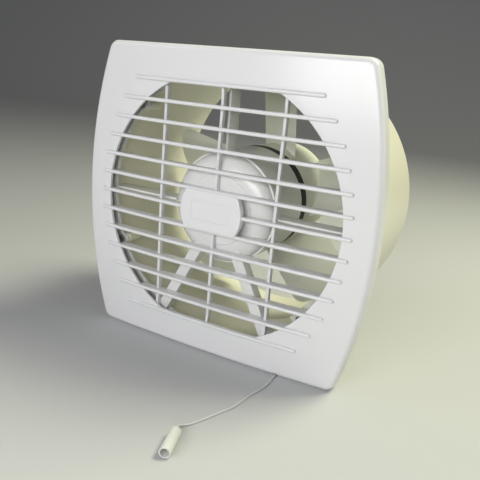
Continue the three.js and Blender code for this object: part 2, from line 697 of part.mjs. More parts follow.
function impellerBody() {
  const { hubRadius, hubWall, hubRearY, shoulder: round, bossRadius, recessRadius } = impeller;
  const bore = shaft.radius + seatGap;
  const inside = hubRadius - hubWall;
  const hollowRear = hubRearY - hubWall;
  const cone = [
    [recessRadius + hubWall, recessY - hubWall], [recessRadius + hubWall, hollowRear], [inside - round, hollowRear],
    [inside, hollowRear - round], [inside, hubFrontY],
  ];
  const hub = turn([
    [bore, hubFrontY + 4], [bossRadius, hubFrontY + 4], [bossRadius, recessY - hubWall], ...cone,
    [hubRadius, hubFrontY], [hubRadius, hubRearY - round], [hubRadius - 0.3 * round, hubRearY - 0.3 * round],
    [hubRadius - round, hubRearY], [recessRadius, hubRearY], [recessRadius, recessY], [bore, recessY],
    [bore, hubFrontY + 4],
  ], 30);
  const hollow = turn([[0, recessY - hubWall], ...cone, [inside, hubFrontY - 1], [0, hubFrontY - 1]], 30);
  const blade = cut(impellerBlade(), hollow);
  const blades = Array.from({ length: impeller.bladeCount }, (_, i) => (
    spin(blade, impeller.bladeAngle + 360 * i / impeller.bladeCount)));
  return join(hub, ...blades);
}

const hubWasher = () => sleeve(shaft.radius + seatGap, nut.washerRadius, nutSeatY, nutSeatY + nut.washerThickness, 16);

function hubNut() {
  const across = nut.acrossFlats / Math.sqrt(3);
  return cut(rod(across, nutY, nutY + nut.height, 6), rod(shaft.radius + seatGap, nutY - 1, nutY + nut.height + 1, 16));
}

// ---------------------------------------------------------------- wiring

/** The terminal block on the duct's inner wall, drawn on +x with its poles side by side along z. */
function terminalBlock() {
  const { width, frontY, length, poles } = terminal;
  const x0 = terminalX - terminal.height / 2;
  const body = box(x0, terminalRearX, frontY, frontY + length, -width / 2, width / 2);
  const ways = Array.from({ length: poles }, (_, i) => {
    const z = terminalPole(i);
    const way = move(rod(terminal.ways, frontY - 1, frontY + length + 1, 12), terminalX - 0.5, 0, z);
    const well = rod(1.9, 0, 4, 12).rotateZ(Math.PI / 2).translate(x0 + 3, frontY + length / 2, z);
    return [way, well];
  });
  return cut(body, ...ways.flat());
}

const terminalPole = (i) => (i - (terminal.poles - 1) / 2) * terminal.width / terminal.poles;

/** One clamping screw, drawn in its well on +x. */
function terminalScrew(pole) {
  const { frontY, length, height } = terminal;
  const head = rod(1.5, 0, 2.2, 12).rotateZ(-Math.PI / 2);
  return head.translate(terminalX - height / 2 + 0.4, frontY + length / 2, terminalPole(pole));
}

// ---------------------------------------------------------------- pull switch

const switchFloor = switchBottom + switchBox.wall;
const plungerTop = switchFloor + seatGap + 2 * spring.wire * spring.turns + plunger.stroke + plunger.height + 0.8;
const plungerBottom = plungerTop - plunger.height;

function switchCase() {
  const { wall, lid } = switchBox;
  const [bottom, top] = [switchBottom, switchTop];
  const open = switchFrontY + lid + seatGap;
  const body = box(switchX0, switchX1, open, switchRearY, bottom, top);
  const room = box(switchX0 + wall, switchX1 - wall, open - 1, switchRearY - wall, bottom + wall, top - wall);
  const cordHole = box(cordX - 1, cordX + 1, open - 1, cordDepth + 1, bottom - 1, bottom + wall + 1);
  const spindle = move(rod(0.9, open + 0.2, switchRearY - 0.5, 12), cordX + camOffset, 0, camZ);
  return join(cut(body, room, cordHole), spindle);
}

const camOffset = plunger.width / 2 + cam.radius + 0.5;
const camZ = plungerTop - 2;

const switchLid = () => box(switchX0, switchX1, switchFrontY, switchFrontY + switchBox.lid,
  switchBottom, switchTop);

function switchPlunger() {
  const w = plunger.width / 2;
  const room = (switchRearY - switchBox.wall) - (switchFrontY + switchBox.lid);
  const half = room / 2 - seatGap;
  const body = box(cordX - w, cordX + w, cordDepth - half, cordDepth + half, plungerBottom, plungerTop);
  const hole = rod(cord.radius + seatGap, -1, 2, 12).rotateX(Math.PI / 2);
  return cut(body, move(hole, cordX, cordDepth, plungerBottom));
}

/** The return spring under the plunger: one wire wound as a helix about the cord. */
function returnSpring() {
  const [z0, z1] = [switchFloor + seatGap + spring.wire, plungerBottom - seatGap - spring.wire];
  const steps = spring.turns * 8;
  const sides = 5;
  const rings = Array.from({ length: steps + 1 }, (_, i) => {
    const a = 2 * Math.PI * i / 8;
    return Array.from({ length: sides }, (_, k) => {
      const b = 2 * Math.PI * k / sides;
      const r = spring.radius + spring.wire * Math.cos(b);
      return [cordX + r * Math.cos(a), cordDepth + r * Math.sin(a), z0 + (z1 - z0) * i / steps + spring.wire * Math.sin(b)];
    });
  });
  return skin(rings);
}

function ratchetCam() {
  const shape = new THREE.Shape();
  for (let i = 0; i < cam.teeth; i += 1) {
    const a = 2 * Math.PI * i / cam.teeth;
    const b = a + 1.6 * Math.PI / cam.teeth;
    const inner = cam.radius - cam.tooth;
    const start = [inner * Math.cos(a), inner * Math.sin(a)];
    if (i === 0) shape.moveTo(...start);
    else shape.lineTo(...start);
    shape.lineTo(cam.radius * Math.cos(b), cam.radius * Math.sin(b));
  }
  const y0 = cordDepth - cam.thickness / 2;
  const wheel = cut(prism(shape, y0, y0 + cam.thickness), rod(0.9 + seatGap, y0 - 1, y0 + cam.thickness + 1, 12));
  return move(wheel, cordX + camOffset, 0, camZ);
}

// ---------------------------------------------------------------- pull cord

const cordZ = tableZ + cord.radius + cord.clear;

const upperCord = () => move(
  rod(cord.radius, cordZ + cord.radius + seatGap, plungerBottom + 1.4, cord.sides).rotateX(Math.PI / 2), cordX, cordDepth, 0);

/** The free cord along the table, rising at last into the handle along the handle's own axis. */
function freeCord() {
  const [hx, hy] = handleStart;
  const [ux, uy] = [Math.sin(radians(-handleTurn)), -Math.cos(radians(handleTurn))];
  const axisZ = tableZ + handle.radius;
  const intoHandle = [[-7.5, cordZ + 0.9], [-4.2, axisZ - 0.5], [-2.2, axisZ], [0, axisZ], [1.9, axisZ]];
  const route = [
    [cordX, cordDepth + cord.radius, cordZ],
    ...cordRoute.map(([x, y]) => [x, y, cordZ]),
    ...intoHandle.map(([d, z]) => [hx + ux * d, hy + uy * d, z]),
  ];
  return tube(route, cord.radius, cord.sides, 5 * cord.radius);
}

/** The handle: a small tube, open at its free end and drawn in where the cord enters. */
function cordHandle() {
  const { radius, length, wall, round, cordHole } = handle;
  const inner = radius - wall;
  const body = turn([
    [cordHole, 0], [radius - round, 0], [radius - 0.3 * round, 0.3 * round], [radius, round],
    [radius, length], [inner, length], [inner, 2.4], [cordHole, 2.4], [cordHole, 0],
  ], 20);
  body.rotateZ(Math.PI);
  body.rotateZ(-radians(handleTurn));
  return body;
}

// ---------------------------------------------------------------- assembly

const finish = {
  gloss: { color: 0xe3e4e6, roughness: 0.22, metalness: 0 },
  white: { color: 0xe6e6e2, roughness: 0.35, metalness: 0 },
  cream: { color: 0xe8e7d2, roughness: 0.4, metalness: 0 },
  blade: { color: 0xdfe2da, roughness: 0.45, metalness: 0 },
  black: { color: 0x1b1f1e, roughness: 0.4, metalness: 0 },
  steel: { color: 0x9fa3a5, roughness: 0.35, metalness: 1 },
  lamination: { color: 0x6f7376, roughness: 0.5, metalness: 0.9 },
  zinc: { color: 0xb3b5b4, roughness: 0.5, metalness: 0.8 },
  bronze: { color: 0xa9814e, roughness: 0.45, metalness: 0.9 },
  tape: { color: 0xc9b56a, roughness: 0.5, metalness: 0 },
  nylon: { color: 0xd8d8cd, roughness: 0.5, metalness: 0 },
  cord: { color: 0xcfd3d2, roughness: 0.8, metalness: 0 },
};

const fan = new THREE.Group();

function add(name, geometry, look, place = {}) {
  const mesh = new THREE.Mesh(geometry, new THREE.MeshStandardMaterial(finish[look]));
  mesh.name = name;
  if (place.position) mesh.position.set(...place.position);
  if (place.turn) mesh.rotation.y = -radians(place.turn);
  fan.add(mesh);
  return mesh;
}

add('front_cover', frontCover(), 'gloss');
add('duct_housing', ductHousing(), 'cream');
add('motor_bracket', motorBracket(), 'white');
add('leg_cover_left', legCover(), 'white', { turn: -90 - legs.spread });
add('leg_cover_right', legCover(), 'white', { turn: -90 + legs.spread });
ringScrews.angles.forEach((angle, i) => {
  add(`bracket_screw_${i + 1}`, move(screw(ringScrews, ring.frontY - seatGap), ringScrewRadius, 0, 0), 'steel', { turn: angle });
});
add('motor_end_cap', motorEndCap(), 'black');
add('stator_core', statorCore(), 'lamination');
add('coil_bobbin', coilBobbin(), 'nylon');
add('motor_coil', motorCoil(), 'tape');
add('front_bearing_bar', frontBearingBar(), 'zinc');
add('rear_bearing_bar', rearBearingBar(), 'zinc');
add('front_bush', bush(frontBarY - bearing.bushLength), 'bronze');
add('rear_bush', bush(rearBarY + 0.5), 'bronze');
[-1, 1].forEach((side, i) => {
  add(`motor_screw_${i + 1}`, motorScrew(), 'steel', { position: [side * motorScrews.x, 0, 0] });
});
add('rotor', rotorBody(), 'zinc');
add('motor_shaft', motorShaft(), 'steel');
add('impeller', impellerBody(), 'blade');
add('hub_washer', hubWasher(), 'steel');
add('hub_nut', hubNut(), 'steel');
add('terminal_block', terminalBlock(), 'nylon', { turn: terminal.angle });
for (let pole = 0; pole < terminal.poles; pole += 1) {
  add(`terminal_screw_${pole + 1}`, terminalScrew(pole), 'steel', { turn: terminal.angle });
}
add('switch_case', switchCase(), 'nylon');
add('switch_lid', switchLid(), 'nylon');
add('switch_plunger', switchPlunger(), 'white');
add('switch_cam', ratchetCam(), 'black');
add('return_spring', returnSpring(), 'steel');
add('upper_cord', upperCord(), 'cord');
add('pull_cord', freeCord(), 'cord');
add('cord_handle', cordHandle(), 'nylon', { position: [...handleStart, tableZ + handle.radius] });

// Stand the fan on its cover's lower edge, with the origin under the middle of its depth.
fan.position.set(0, (badge.proud - duct.rearY) / 2, cover.halfHeight);

const windowFan = new THREE.Group();
windowFan.add(fan);

export default windowFan;
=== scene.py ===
"""Looks of a window exhaust fan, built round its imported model.

The fan's axis runs along Y and its front looks along -Y. Shapes are worked out with numpy in
fan coordinates, in metres: x to the right, z up from the fan axis, and y the depth behind the
plane of the cover's bars. place() moves them to where the fan stands.
"""

import json
import math

import bmesh
import bpy
import numpy as np
from mathutils import Matrix, Vector


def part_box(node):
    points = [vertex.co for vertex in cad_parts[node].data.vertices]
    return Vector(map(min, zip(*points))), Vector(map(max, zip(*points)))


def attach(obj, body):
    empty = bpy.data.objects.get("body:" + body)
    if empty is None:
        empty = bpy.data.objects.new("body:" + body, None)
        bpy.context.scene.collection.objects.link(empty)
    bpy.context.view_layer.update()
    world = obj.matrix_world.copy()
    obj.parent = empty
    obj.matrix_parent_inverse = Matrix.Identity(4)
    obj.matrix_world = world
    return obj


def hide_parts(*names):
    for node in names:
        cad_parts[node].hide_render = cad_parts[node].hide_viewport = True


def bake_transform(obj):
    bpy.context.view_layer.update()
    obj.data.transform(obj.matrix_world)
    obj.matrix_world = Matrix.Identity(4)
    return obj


bl_info = {
    "name": "Window exhaust fan",
    "version": (1, 0, 0),
    "blender": (4, 5, 0),
    "location": "View3D > Sidebar > Exhaust fan",
    "description": "Builds the surfaces, finishes and stage of a duct fan with a slatted cover",
    "category": "Object",
}

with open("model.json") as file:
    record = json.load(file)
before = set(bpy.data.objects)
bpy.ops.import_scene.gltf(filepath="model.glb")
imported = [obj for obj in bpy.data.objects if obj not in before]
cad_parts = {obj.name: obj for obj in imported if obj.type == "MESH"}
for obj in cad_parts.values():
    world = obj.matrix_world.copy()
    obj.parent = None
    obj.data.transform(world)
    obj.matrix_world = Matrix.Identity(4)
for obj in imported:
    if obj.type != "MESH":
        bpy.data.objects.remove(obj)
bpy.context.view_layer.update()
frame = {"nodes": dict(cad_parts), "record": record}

MM = 0.001
NAME_PLATE_PROUD = 2.7 * MM
COVER_LOW, COVER_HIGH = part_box("front_cover")
AXIS_Z = (COVER_LOW.z + COVER_HIGH.z) / 2
FACE_Y = COVER_LOW.y + NAME_PLATE_PROUD
ORIGIN = np.array([0.0, FACE_Y, AXIS_Z])
SEAT_GAP = 0.3 * MM
# a radius that is small enough to close an end
CLOSED = 1e-6

# the screws that hold the hoop: their directions in degrees, and the radius of their holes
RING_SCREW_ANGLES = (42, 138, 205, 335)
RING_SCREW_HOLE = 1.8 * MM

# where the free cord lies, x and y in fan coordinates, in millimetres
CORD_ROUTE = (
    (55.297, 10.667), (55.4, 3.6), (56.2, -4.5), (56.3, -12.9), (55.2, -20.0), (53.8, -26.4),
    (52.8, -36.0), (51.4, -46.0), (48.1, -55.1), (44.5, -65.3), (40.6, -74.5),
)
HANDLE_START = (39.5, -87.3)
# distances from the handle's end, and heights above the table, in millimetres
CORD_RISE = ((-7.5, 1.65), (-4.2, 2.85), (-2.2, 3.35), (0.0, 3.35), (1.9, 3.35))


# ---------------------------------------------------------------- properties


def linear(code):
    """The linear RGB of an sRGB hex code such as #E6E7EA."""
    values = np.array([int(code[i : i + 2], 16) for i in (1, 3, 5)]) / 255
    return tuple(np.where(values <= 0.04045, values / 12.92, ((values + 0.055) / 1.055) ** 2.4))


def size(label, millimetres, description):
    """A length property with its default in millimetres."""
    return bpy.props.FloatProperty(
        name=label, description=description, default=millimetres * MM, unit="LENGTH", precision=4
    )


def count(label, default, description):
    """A property that counts things."""
    return bpy.props.IntProperty(name=label, description=description, default=default, min=1)


def angle(label, degrees, description):
    """An angle property with its default in degrees."""
    return bpy.props.FloatProperty(
        name=label, description=description, default=math.radians(degrees), subtype="ANGLE"
    )


def colour(label, code, description):
    """A colour property with its default as an sRGB hex code."""
    return bpy.props.FloatVectorProperty(
        name=label, description=description, default=linear(code), subtype="COLOR", min=0, max=1
    )


class CoverSizes(bpy.types.PropertyGroup):
    """Sizes of the front cover."""

    half_width: size("Half width", 109.5, "Half the width at mid height")
    half_height: size("Half height", 103.2, "Half the height")
    side_radius: size("Side radius", 343, "Radius of the bowed sides")
    corner_radius: size("Corner radius", 7, "Radius of the outline's corners")
    depth: size("Depth", 16.75, "From the plane of the bars to the wall")
    wall: size("Wall", 2.4, "Thickness of the plate")
    rim_wall: size("Rim wall", 2.0, "Thickness of the rim")
    edge_round: size("Edge round", 3.4, "Radius between the face and the rim")
    dome_across: size("Dome across", 1234, "Radius of the face's curve across")
    dome_up: size("Dome up", 1831, "Radius of the face's curve up and down")
    opening_radius: size("Opening radius", 88.4, "Radius of the opening's sides")
    opening_flat: size("Opening flat", 79.6, "Half height of the opening")
    opening_edge: size("Opening edge", 0.6, "Rounding of the opening's edge")
    bar_count: count("Bars", 13, "Number of cross bars")
    bar_pitch: size("Bar pitch", 13.4, "Distance between bars")
    bar_radius: size("Bar radius", 1.3, "Radius of a bar's round front")
    bar_proud: size("Bar proud", 0.7, "How far a bar's middle stands in front of the plate's face")
    blade_depth: size("Blade depth", 7.5, "How deep the flat blade behind a bar is")
    blade_thickness: size("Blade thickness", 1.2, "Thickness of the flat blade behind a bar")
    blade_root: size("Blade root", 1.2, "How far a blade runs past the opening's edge")
    bar_arc: size("Bar end arc", 134, "Radius of the arcs that the bar ends lie on")
    bar_offset: size("Bar end offset", 38.9, "How far the arcs' centres lie past the middle")
    strip_spacing: size("Strip spacing", 43.8, "Distance between upright strips")
    strip_width: size("Strip width", 2.0, "Width of an upright strip")
    strip_aside: size("Strip aside", -0.7, "How far the strips stand from the middle")
    strip_front: size("Strip front", 4.0, "Depth of a strip's front edge behind the bars' plane")
    strip_lift: size("Strip lift", 1.8, "How far a strip's ends come forward to meet the plate")
    strip_depth: size("Strip depth", 3.6, "How deep a strip is")
    peg_x: size("Peg place across", 80, "Distance of the pegs from the middle")
    peg_z: size("Peg place up", 88, "Distance of the pegs from the axis")
    peg_radius: size("Peg radius", 2.6, "Radius of a push-in peg")
    peg_reach: size("Peg reach", 5.5, "Length of a push-in peg")
    notch_width: size("Notch width", 2.6, "Width of the notch that the cord leaves by")
    notch_height: size("Notch height", 2.3, "Height of the notch that the cord leaves by")


class PlateSizes(bpy.types.PropertyGroup):
    """Sizes of the name plate in the middle of the cover."""

    radius: size("Radius", 23.2, "Radius of the plate's round sides")
    half_height: size("Half height", 13.4, "Half the plate's height")
    corner_radius: size("Corner radius", 0.9, "Radius where the sides meet the straight edges")
    thickness: size("Thickness", 4.2, "How thick the plate is")
    edge_round: size("Edge round", 0.8, "Rounding of the front edge")
    field_width: size("Field width", 14.5, "Half the width of the sunk field")
    field_height: size("Field height", 6.3, "Half the height of the sunk field")
    field_corner: size("Field corner", 2.2, "Radius of the sunk field's corners")
    field_depth: size("Field depth", 0.45, "How deep the field is sunk")


class DuctSizes(bpy.types.PropertyGroup):
    """Sizes of the wall flange and the round duct."""

    radius: size("Outer radius", 99, "Outer radius of the duct")
    wall: size("Wall", 2.2, "Thickness of the duct's wall")
    rear: size("Rear", 123.1, "Depth of the duct's rear rim")
    flange: size("Flange", 2.6, "Thickness of the wall flange")
    flange_gap: size("Flange gap", 0.6, "Gap between the flange and the cover's rim")
    boss_radius: size("Boss radius", 3.9, "Radius of a screw boss")
    boss_place: size("Boss place", 92.4, "Distance of the bosses from the axis")
    boss_length: size("Boss length", 12, "Length of a screw boss")
    socket_radius: size("Socket radius", 4.6, "Outer radius of a peg socket")
    socket_height: size("Socket height", 4.0, "Height of a peg socket above the flange")
    slot_place: size("Slot place", 104.4, "Distance of the wall screws' slots from the axis")
    slot_angle: angle("Slot angle", 36.4, "Direction of a slot above or below level")
    slot_width: size("Slot width", 4.8, "Width of a slot")
    slot_length: size("Slot length", 9, "Length of a slot")
    pad_width: size("Pad width", 24, "Width of the terminal block's seat")
    pad_front: size("Pad front", 19.5, "Depth of the seat's front")
    pad_length: size("Pad length", 13, "Length of the seat along the duct")
    pad_height: size("Pad height", 2.6, "Height of the seat above the duct's wall")
    pad_angle: angle("Pad angle", -42, "Direction of the terminal block from the axis")


class BracketSizes(bpy.types.PropertyGroup):
    """Sizes of the hoop, vanes, legs and motor cup."""

    hoop_inner: size("Hoop inner radius", 91.2, "Inner radius of the hoop")
    hoop_outer: size("Hoop outer radius", 96.3, "Outer radius of the hoop")
    hoop_front: size("Hoop front", 13.4, "Depth of the hoop's front")
    hoop_thickness: size("Hoop thickness", 2.4, "How thick the hoop is")
    lug_radius: size("Lug radius", 3.5, "Radius of the hoop's lugs at its screws")
    lug_thickness: size("Lug thickness", 4.0, "How thick a lug is")
    vane_thickness: size("Vane thickness", 1.6, "Thickness of a vane")
    vane_depth: size("Vane depth", 12.5, "How deep a vane is")
    leg_spread: angle("Leg spread", 27.5, "Angle of a leg from straight down")
    leg_width: size("Leg width", 7.8, "Width of a leg")
    leg_front: size("Leg front", 9.4, "Depth of the legs' front faces")
    leg_depth: size("Leg depth", 8.0, "How deep a leg is")
    leg_wall: size("Leg wall", 1.5, "Wall of a leg's channel")
    leg_reach: size("Leg reach", 90, "Distance of the foot's centre from the axis")
    cup_radius: size("Cup radius", 38.5, "Radius of the motor cup")
    cup_front: size("Cup front", 8.0, "Depth of the cup's front face")
    cup_rear: size("Cup rear", 59, "Depth of the cup's rear edge")
    cup_face: size("Cup face", 24.2, "Radius of the cup's flat face")
    cup_shoulder: size("Cup shoulder", 37.2, "Radius where the shoulder ends")
    cup_bend: size("Cup bend", 17.4, "Depth where the shoulder ends")
    cup_step: size("Cup step", 0.8, "Height of the step round the flat face")
    cup_wall: size("Cup wall", 2.0, "Thickness of the cup")
    cap_rear: size("End cap rear", 68.3, "Depth of the black end cap's rear face")
    recess_from: angle("Lead recess from", -112.6, "Direction of one side of the leads' recess")
    recess_to: angle("Lead recess to", -102.1, "Direction of its other side")
    recess_front: size("Lead recess front", 13.5, "Depth of the recess's front")
    recess_rear: size("Lead recess rear", 20, "Depth of the recess's rear")
    recess_depth: size("Lead recess depth", 1.3, "How far the recess is sunk in the cup")


class ImpellerSizes(bpy.types.PropertyGroup):
    """Sizes of the impeller."""

    hub_radius: size("Hub radius", 38.4, "Radius of the hub")
    hub_front: size("Hub front", 68.9, "Depth of the hub's open edge")
    hub_rear: size("Hub rear", 116, "Depth of the hub's nose")
    hub_wall: size("Hub wall", 1.8, "Thickness of the hub")
    shoulder: size("Shoulder", 3.5, "Rounding of the nose")
    boss_radius: size("Boss radius", 6, "Radius of the boss round the shaft")
    bore: size("Bore", 2.3, "Radius of the shaft bore")
    recess_radius: size("Recess radius", 8.5, "Radius of the recess that holds the nut")
    recess_depth: size("Recess depth", 6.5, "Depth of the recess that holds the nut")
    blade_count: count("Blades", 5, "Number of blades")
    blade_angle: angle("Blade angle", 90, "Direction of the first blade's middle line")
    tip_radius: size("Tip radius", 89, "Radius of the blade tips")
    front_root: size("Front edge at root", 79.3, "Depth of a blade's front edge at the hub")
    front_tip: size("Front edge at tip", 78.1, "Depth of a blade's front edge at its tip")
    rear_root: size("Rear edge at root", 106.7, "Depth of a blade's rear edge at the hub")
    rear_tip: size("Rear edge at tip", 105.9, "Depth of a blade's rear edge at its tip")
    front_root_side: size("Front edge aside at root", 21.1, "Distance aside of the middle line")
    front_tip_side: size("Front edge aside at tip", 17.3, "Distance aside of the middle line")
    rear_root_side: size("Rear edge aside at root", 17.1, "Distance aside of the middle line")
    rear_tip_side: size("Rear edge aside at tip", 22.3, "Distance aside of the middle line")
    camber: size("Camber", 2.4, "Height of a blade's bow")
    tip_drop: size("Tip rounding", 4.5, "How far the tip's corners are drawn in")
    thickness: size("Blade thickness", 1.9, "Thickness in the middle of a blade")
    edge_thickness: size("Edge thickness", 1.0, "Thickness at a blade's edges")
    root_fillet: size("Root fillet", 1.6, "Fillet where a blade meets the hub")


class CordSizes(bpy.types.PropertyGroup):
    """Sizes of the pull cord and its handle."""

    radius: size("Cord radius", 0.6, "Radius of the cord")
    clear: size("Clear of the table", 0.15, "Gap between the cord and what it lies on")
    lay: size("Lay length", 3.6, "Length of one turn of the cord's strands")
    handle_radius: size("Handle radius", 3.35, "Outer radius of the handle")
    handle_length: size("Handle length", 20.5, "Length of the handle")
    handle_wall: size("Handle wall", 0.95, "Wall of the handle's tube")
    handle_round: size("Handle round", 1.2, "Rounding of the end that the cord enters")
    cord_hole: size("Cord hole", 0.95, "Radius of the hole that the cord enters")
    spring_wire: size("Spring wire", 0.22, "Radius of the return spring's wire")
    spring_turns: count("Spring turns", 6, "Turns of the return spring")
    handle_turn: angle("Handle turn", -18.5, "Direction of the handle away from straight ahead")


class FanColours(bpy.types.PropertyGroup):
    """Colours of the finishes."""

    cover: colour("Cover", "#DADBDE", "Cool white of the cover")
    bracket: colour("Bracket", "#F6F6F6", "White of the motor bracket")
    duct: colour("Duct", "#E6E7E5", "Off-white of the duct housing")
    impeller: colour("Impeller", "#D7D9DA", "Milky white of the impeller")
    black: colour("Black", "#17191A", "Black of the end cap")
    nylon: colour("Nylon", "#D6D5C8", "Natural nylon")
    handle: colour("Handle", "#D3D5CC", "Off-white of the cord handle")
    cord: colour("Cord", "#CDD2D0", "Pale grey of the cord")
    zinc: colour("Zinc plate", "#B5B8BC", "Zinc-plated steel")
    casting: colour("Zinc casting", "#9DA0A1", "Die-cast zinc")
    lamination: colour("Laminations", "#6C7073", "Stacked motor steel")
    bronze: colour("Bronze", "#A67C47", "Sintered bronze")
    tape: colour("Tape", "#C9AC58", "Tape over the motor's winding")
    floor: colour("Floor", "#B9BBBC", "Plain pale floor and backdrop")


GROUPS = {
    "fan_cover": CoverSizes,
    "fan_plate": PlateSizes,
    "fan_duct": DuctSizes,
    "fan_bracket": BracketSizes,
    "fan_impeller": ImpellerSizes,
    "fan_cord": CordSizes,
    "fan_colours": FanColours,
}


# ---------------------------------------------------------------- surfaces


def place(points):
    """Fan coordinates to where the fan stands."""
    return np.asarray(points, float).reshape(-1, 3) + ORIGIN


def xyz(x, y, z):
    """Points from their coordinates: numbers, or arrays that fit together."""
    return np.stack(np.broadcast_arrays(x, y, z), axis=-1)


def joined(*runs):
    """Runs of points, as lists or arrays, made one."""
    return np.concatenate(runs)


def grid(points, close_rows=False, close_columns=False):
    """A grid of points, rows by columns, as (vertices, four-sided faces); either way may wrap."""
    rows, columns = points.shape[:2]
    index = np.arange(rows * columns).reshape(rows, columns)
    if close_rows:
        index = np.concatenate([index, index[:1]])
    if close_columns:
        index = np.concatenate([index, index[:, :1]], axis=1)
    corners = [index[:-1, :-1], index[1:, :-1], index[1:, 1:], index[:-1, 1:]]
    return points.reshape(-1, 3), np.stack(corners, axis=-1).reshape(-1, 4)


def spin(surface, turn):
    """A surface turned about the fan axis, anticlockwise as seen from the front."""
    points, faces = surface
    c, s = math.cos(turn), math.sin(turn)
    x, y, z = points.T
    return xyz(c * x - s * z, y, s * x + c * z), faces


def shift(surface, x=0.0, y=0.0, z=0.0):
    """A surface moved by a distance."""
    points, faces = surface
    return points + np.array([x, y, z]), faces


def revolve(profile, segments=128, closed=True):
    """A profile of (radius, depth) turned about the fan axis; a closed one is a ring."""
    radius, depth = np.asarray(profile, float).T
    turn = np.linspace(0, 2 * np.pi, segments, endpoint=False)[:, None]
    points = xyz(radius * np.cos(turn), depth, radius * np.sin(turn))
    return grid(points, close_rows=True, close_columns=closed)


def quarter(steps):
    """Even angles from 0 to a right angle."""
    return np.linspace(0, np.pi / 2, steps)


def rounding(radius, steps):
    """A quarter circle over an edge, as (how far in, how far down), from the face to the side."""
    a = quarter(steps)
    return np.stack([radius * (1 - np.sin(a)), radius * (1 - np.cos(a))], axis=1)


def layers(rows, **closed):
    """Outlines of (x, z) points, each with its depth, joined in turn to one surface."""
    points = [xyz(ring[:, 0], depth, ring[:, 1]) for ring, depth in rows]
    return grid(np.array(points), close_columns=True, **closed)


def capped(points):
    """A tube of closed rows of points, its two ends drawn together to their middles."""
    ends = [np.broadcast_to(end.mean(axis=0), end.shape)[None] for end in (points[0], points[-1])]
    return grid(np.concatenate([ends[0], points, ends[1]]), close_columns=True)


def four_corners(across, up):
    """The places (x, z) of what stands in all four corners."""
    return [(side * across, end * up) for side in (-1, 1) for end in (-1, 1)]


def arc(centre, radius, start, end, steps=8):
    """Points of (radius, depth) on an arc; angles in degrees, 0 outwards and 90 to the rear."""
    a = np.radians(np.linspace(start, end, steps))
    return np.stack([centre[0] + radius * np.cos(a), centre[1] + radius * np.sin(a)], axis=1)


def outline(half_width, half_height, side_radius, corner_radius, steps=(24, 10, 20)):
    """A barrel outline: side and corner arcs and straight edges, as points and outward normals.

    A side radius many times the height makes the sides straight.
    """
    side, corner, edge = steps
    centre = half_width - side_radius
    corner_z = half_height - corner_radius
    reach = side_radius - corner_radius
    corner_x = centre + math.sqrt(reach**2 - corner_z**2)
    side_end = math.asin(corner_z / reach)
    a = np.linspace(0, side_end, side, endpoint=False)
    b = np.linspace(side_end, np.pi / 2, corner, endpoint=False)
    straight = np.linspace(corner_x, 0, edge, endpoint=False)
    x = np.concatenate(
        [centre + side_radius * np.cos(a), corner_x + corner_radius * np.cos(b), straight]
    )
    z = np.concatenate(
        [side_radius * np.sin(a), corner_z + corner_radius * np.sin(b), np.full(edge, half_height)]
    )
    turn = np.concatenate([a, b, np.full(edge, np.pi / 2)])
    x = np.concatenate([x, [0.0], -x[:0:-1]])
    z = np.concatenate([z, [half_height], z[:0:-1]])
    turn = np.concatenate([turn, [np.pi / 2], np.pi - turn[:0:-1]])
    points = np.stack([x, z], axis=1)
    normals = np.stack([np.cos(turn), np.sin(turn)], axis=1)
    return np.concatenate([points, -points]), np.concatenate([normals, -normals])


def tube(path, radii, sides=20, lobes=None):
    """A round section carried along a path; lobes(distance, turn) may scale its radius."""
    path = np.asarray(path, float)
    radii = np.broadcast_to(radii, len(path))
    along = np.gradient(path, axis=0)
    along /= np.linalg.norm(along, axis=1, keepdims=True)
    across = np.cross((0.0, 0.0, 1.0), along)
    across /= np.linalg.norm(across, axis=1, keepdims=True)
    over = np.cross(along, across)
    turn = np.linspace(0, 2 * np.pi, sides, endpoint=False)[None, :, None]
    scale = radii[:, None, None]
    if lobes is not None:
        steps = np.linalg.norm(np.diff(path, axis=0), axis=1)
        distance = np.concatenate([[0.0], np.cumsum(steps)])
        scale = scale * lobes(distance[:, None], turn[0, :, 0][None])[:, :, None]
    section = np.cos(turn) * across[:, None] + np.sin(turn) * over[:, None]
    return grid(path[:, None] + scale * section, close_columns=True)


def closed_ends(points, radius):
    """A radius for each point of a path, drawn to nothing at both ends."""
    radii = np.full(len(points), radius)
    radii[[0, -1]] = CLOSED
    return radii


def rounded_ends(start, end, radius, runs=48, ring=7):
    """Places and radii along a straight run whose ends are half spheres."""
    a = quarter(ring)
    first = start + radius * (1 - np.cos(a))
    last = end - radius * (1 - np.cos(a[::-1]))
    places = np.concatenate([first, np.linspace(first[-1], last[0], runs)[1:-1], last])
    swell = radius * np.sin(a)
    radii = np.concatenate([swell, np.full(runs - 2, radius), swell[::-1]])
    return places, np.maximum(radii, CLOSED)


def curve_through(points, spacing):
    """A smooth curve through given points, evenly spaced.

    Each piece is the Catmull-Rom cubic, whose slope at a point is half the step between its two
    neighbours.
    """
    points = np.asarray(points, float)
    before, after = 2 * points[:1] - points[1:2], 2 * points[-1:] - points[-2:-1]
    padded = np.concatenate([before, points, after])
    t = np.linspace(0, 1, 24, endpoint=False)[:, None]
    p0, p1, p2, p3 = (padded[i : i + len(points) - 1, None] for i in range(4))
    square = 2 * p0 - 5 * p1 + 4 * p2 - p3
    cube = 3 * p1 - p0 - 3 * p2 + p3
    dense = 0.5 * (2 * p1 + (p2 - p0) * t + square * t**2 + cube * t**3)
    dense = np.concatenate([dense.reshape(-1, 3), points[-1:]])
    distance = np.concatenate([[0.0], np.cumsum(np.linalg.norm(np.diff(dense, axis=0), axis=1))])
    even = np.linspace(0, distance[-1], max(int(distance[-1] / spacing), 2))
    return np.stack([np.interp(even, distance, dense[:, k]) for k in range(3)], axis=1)


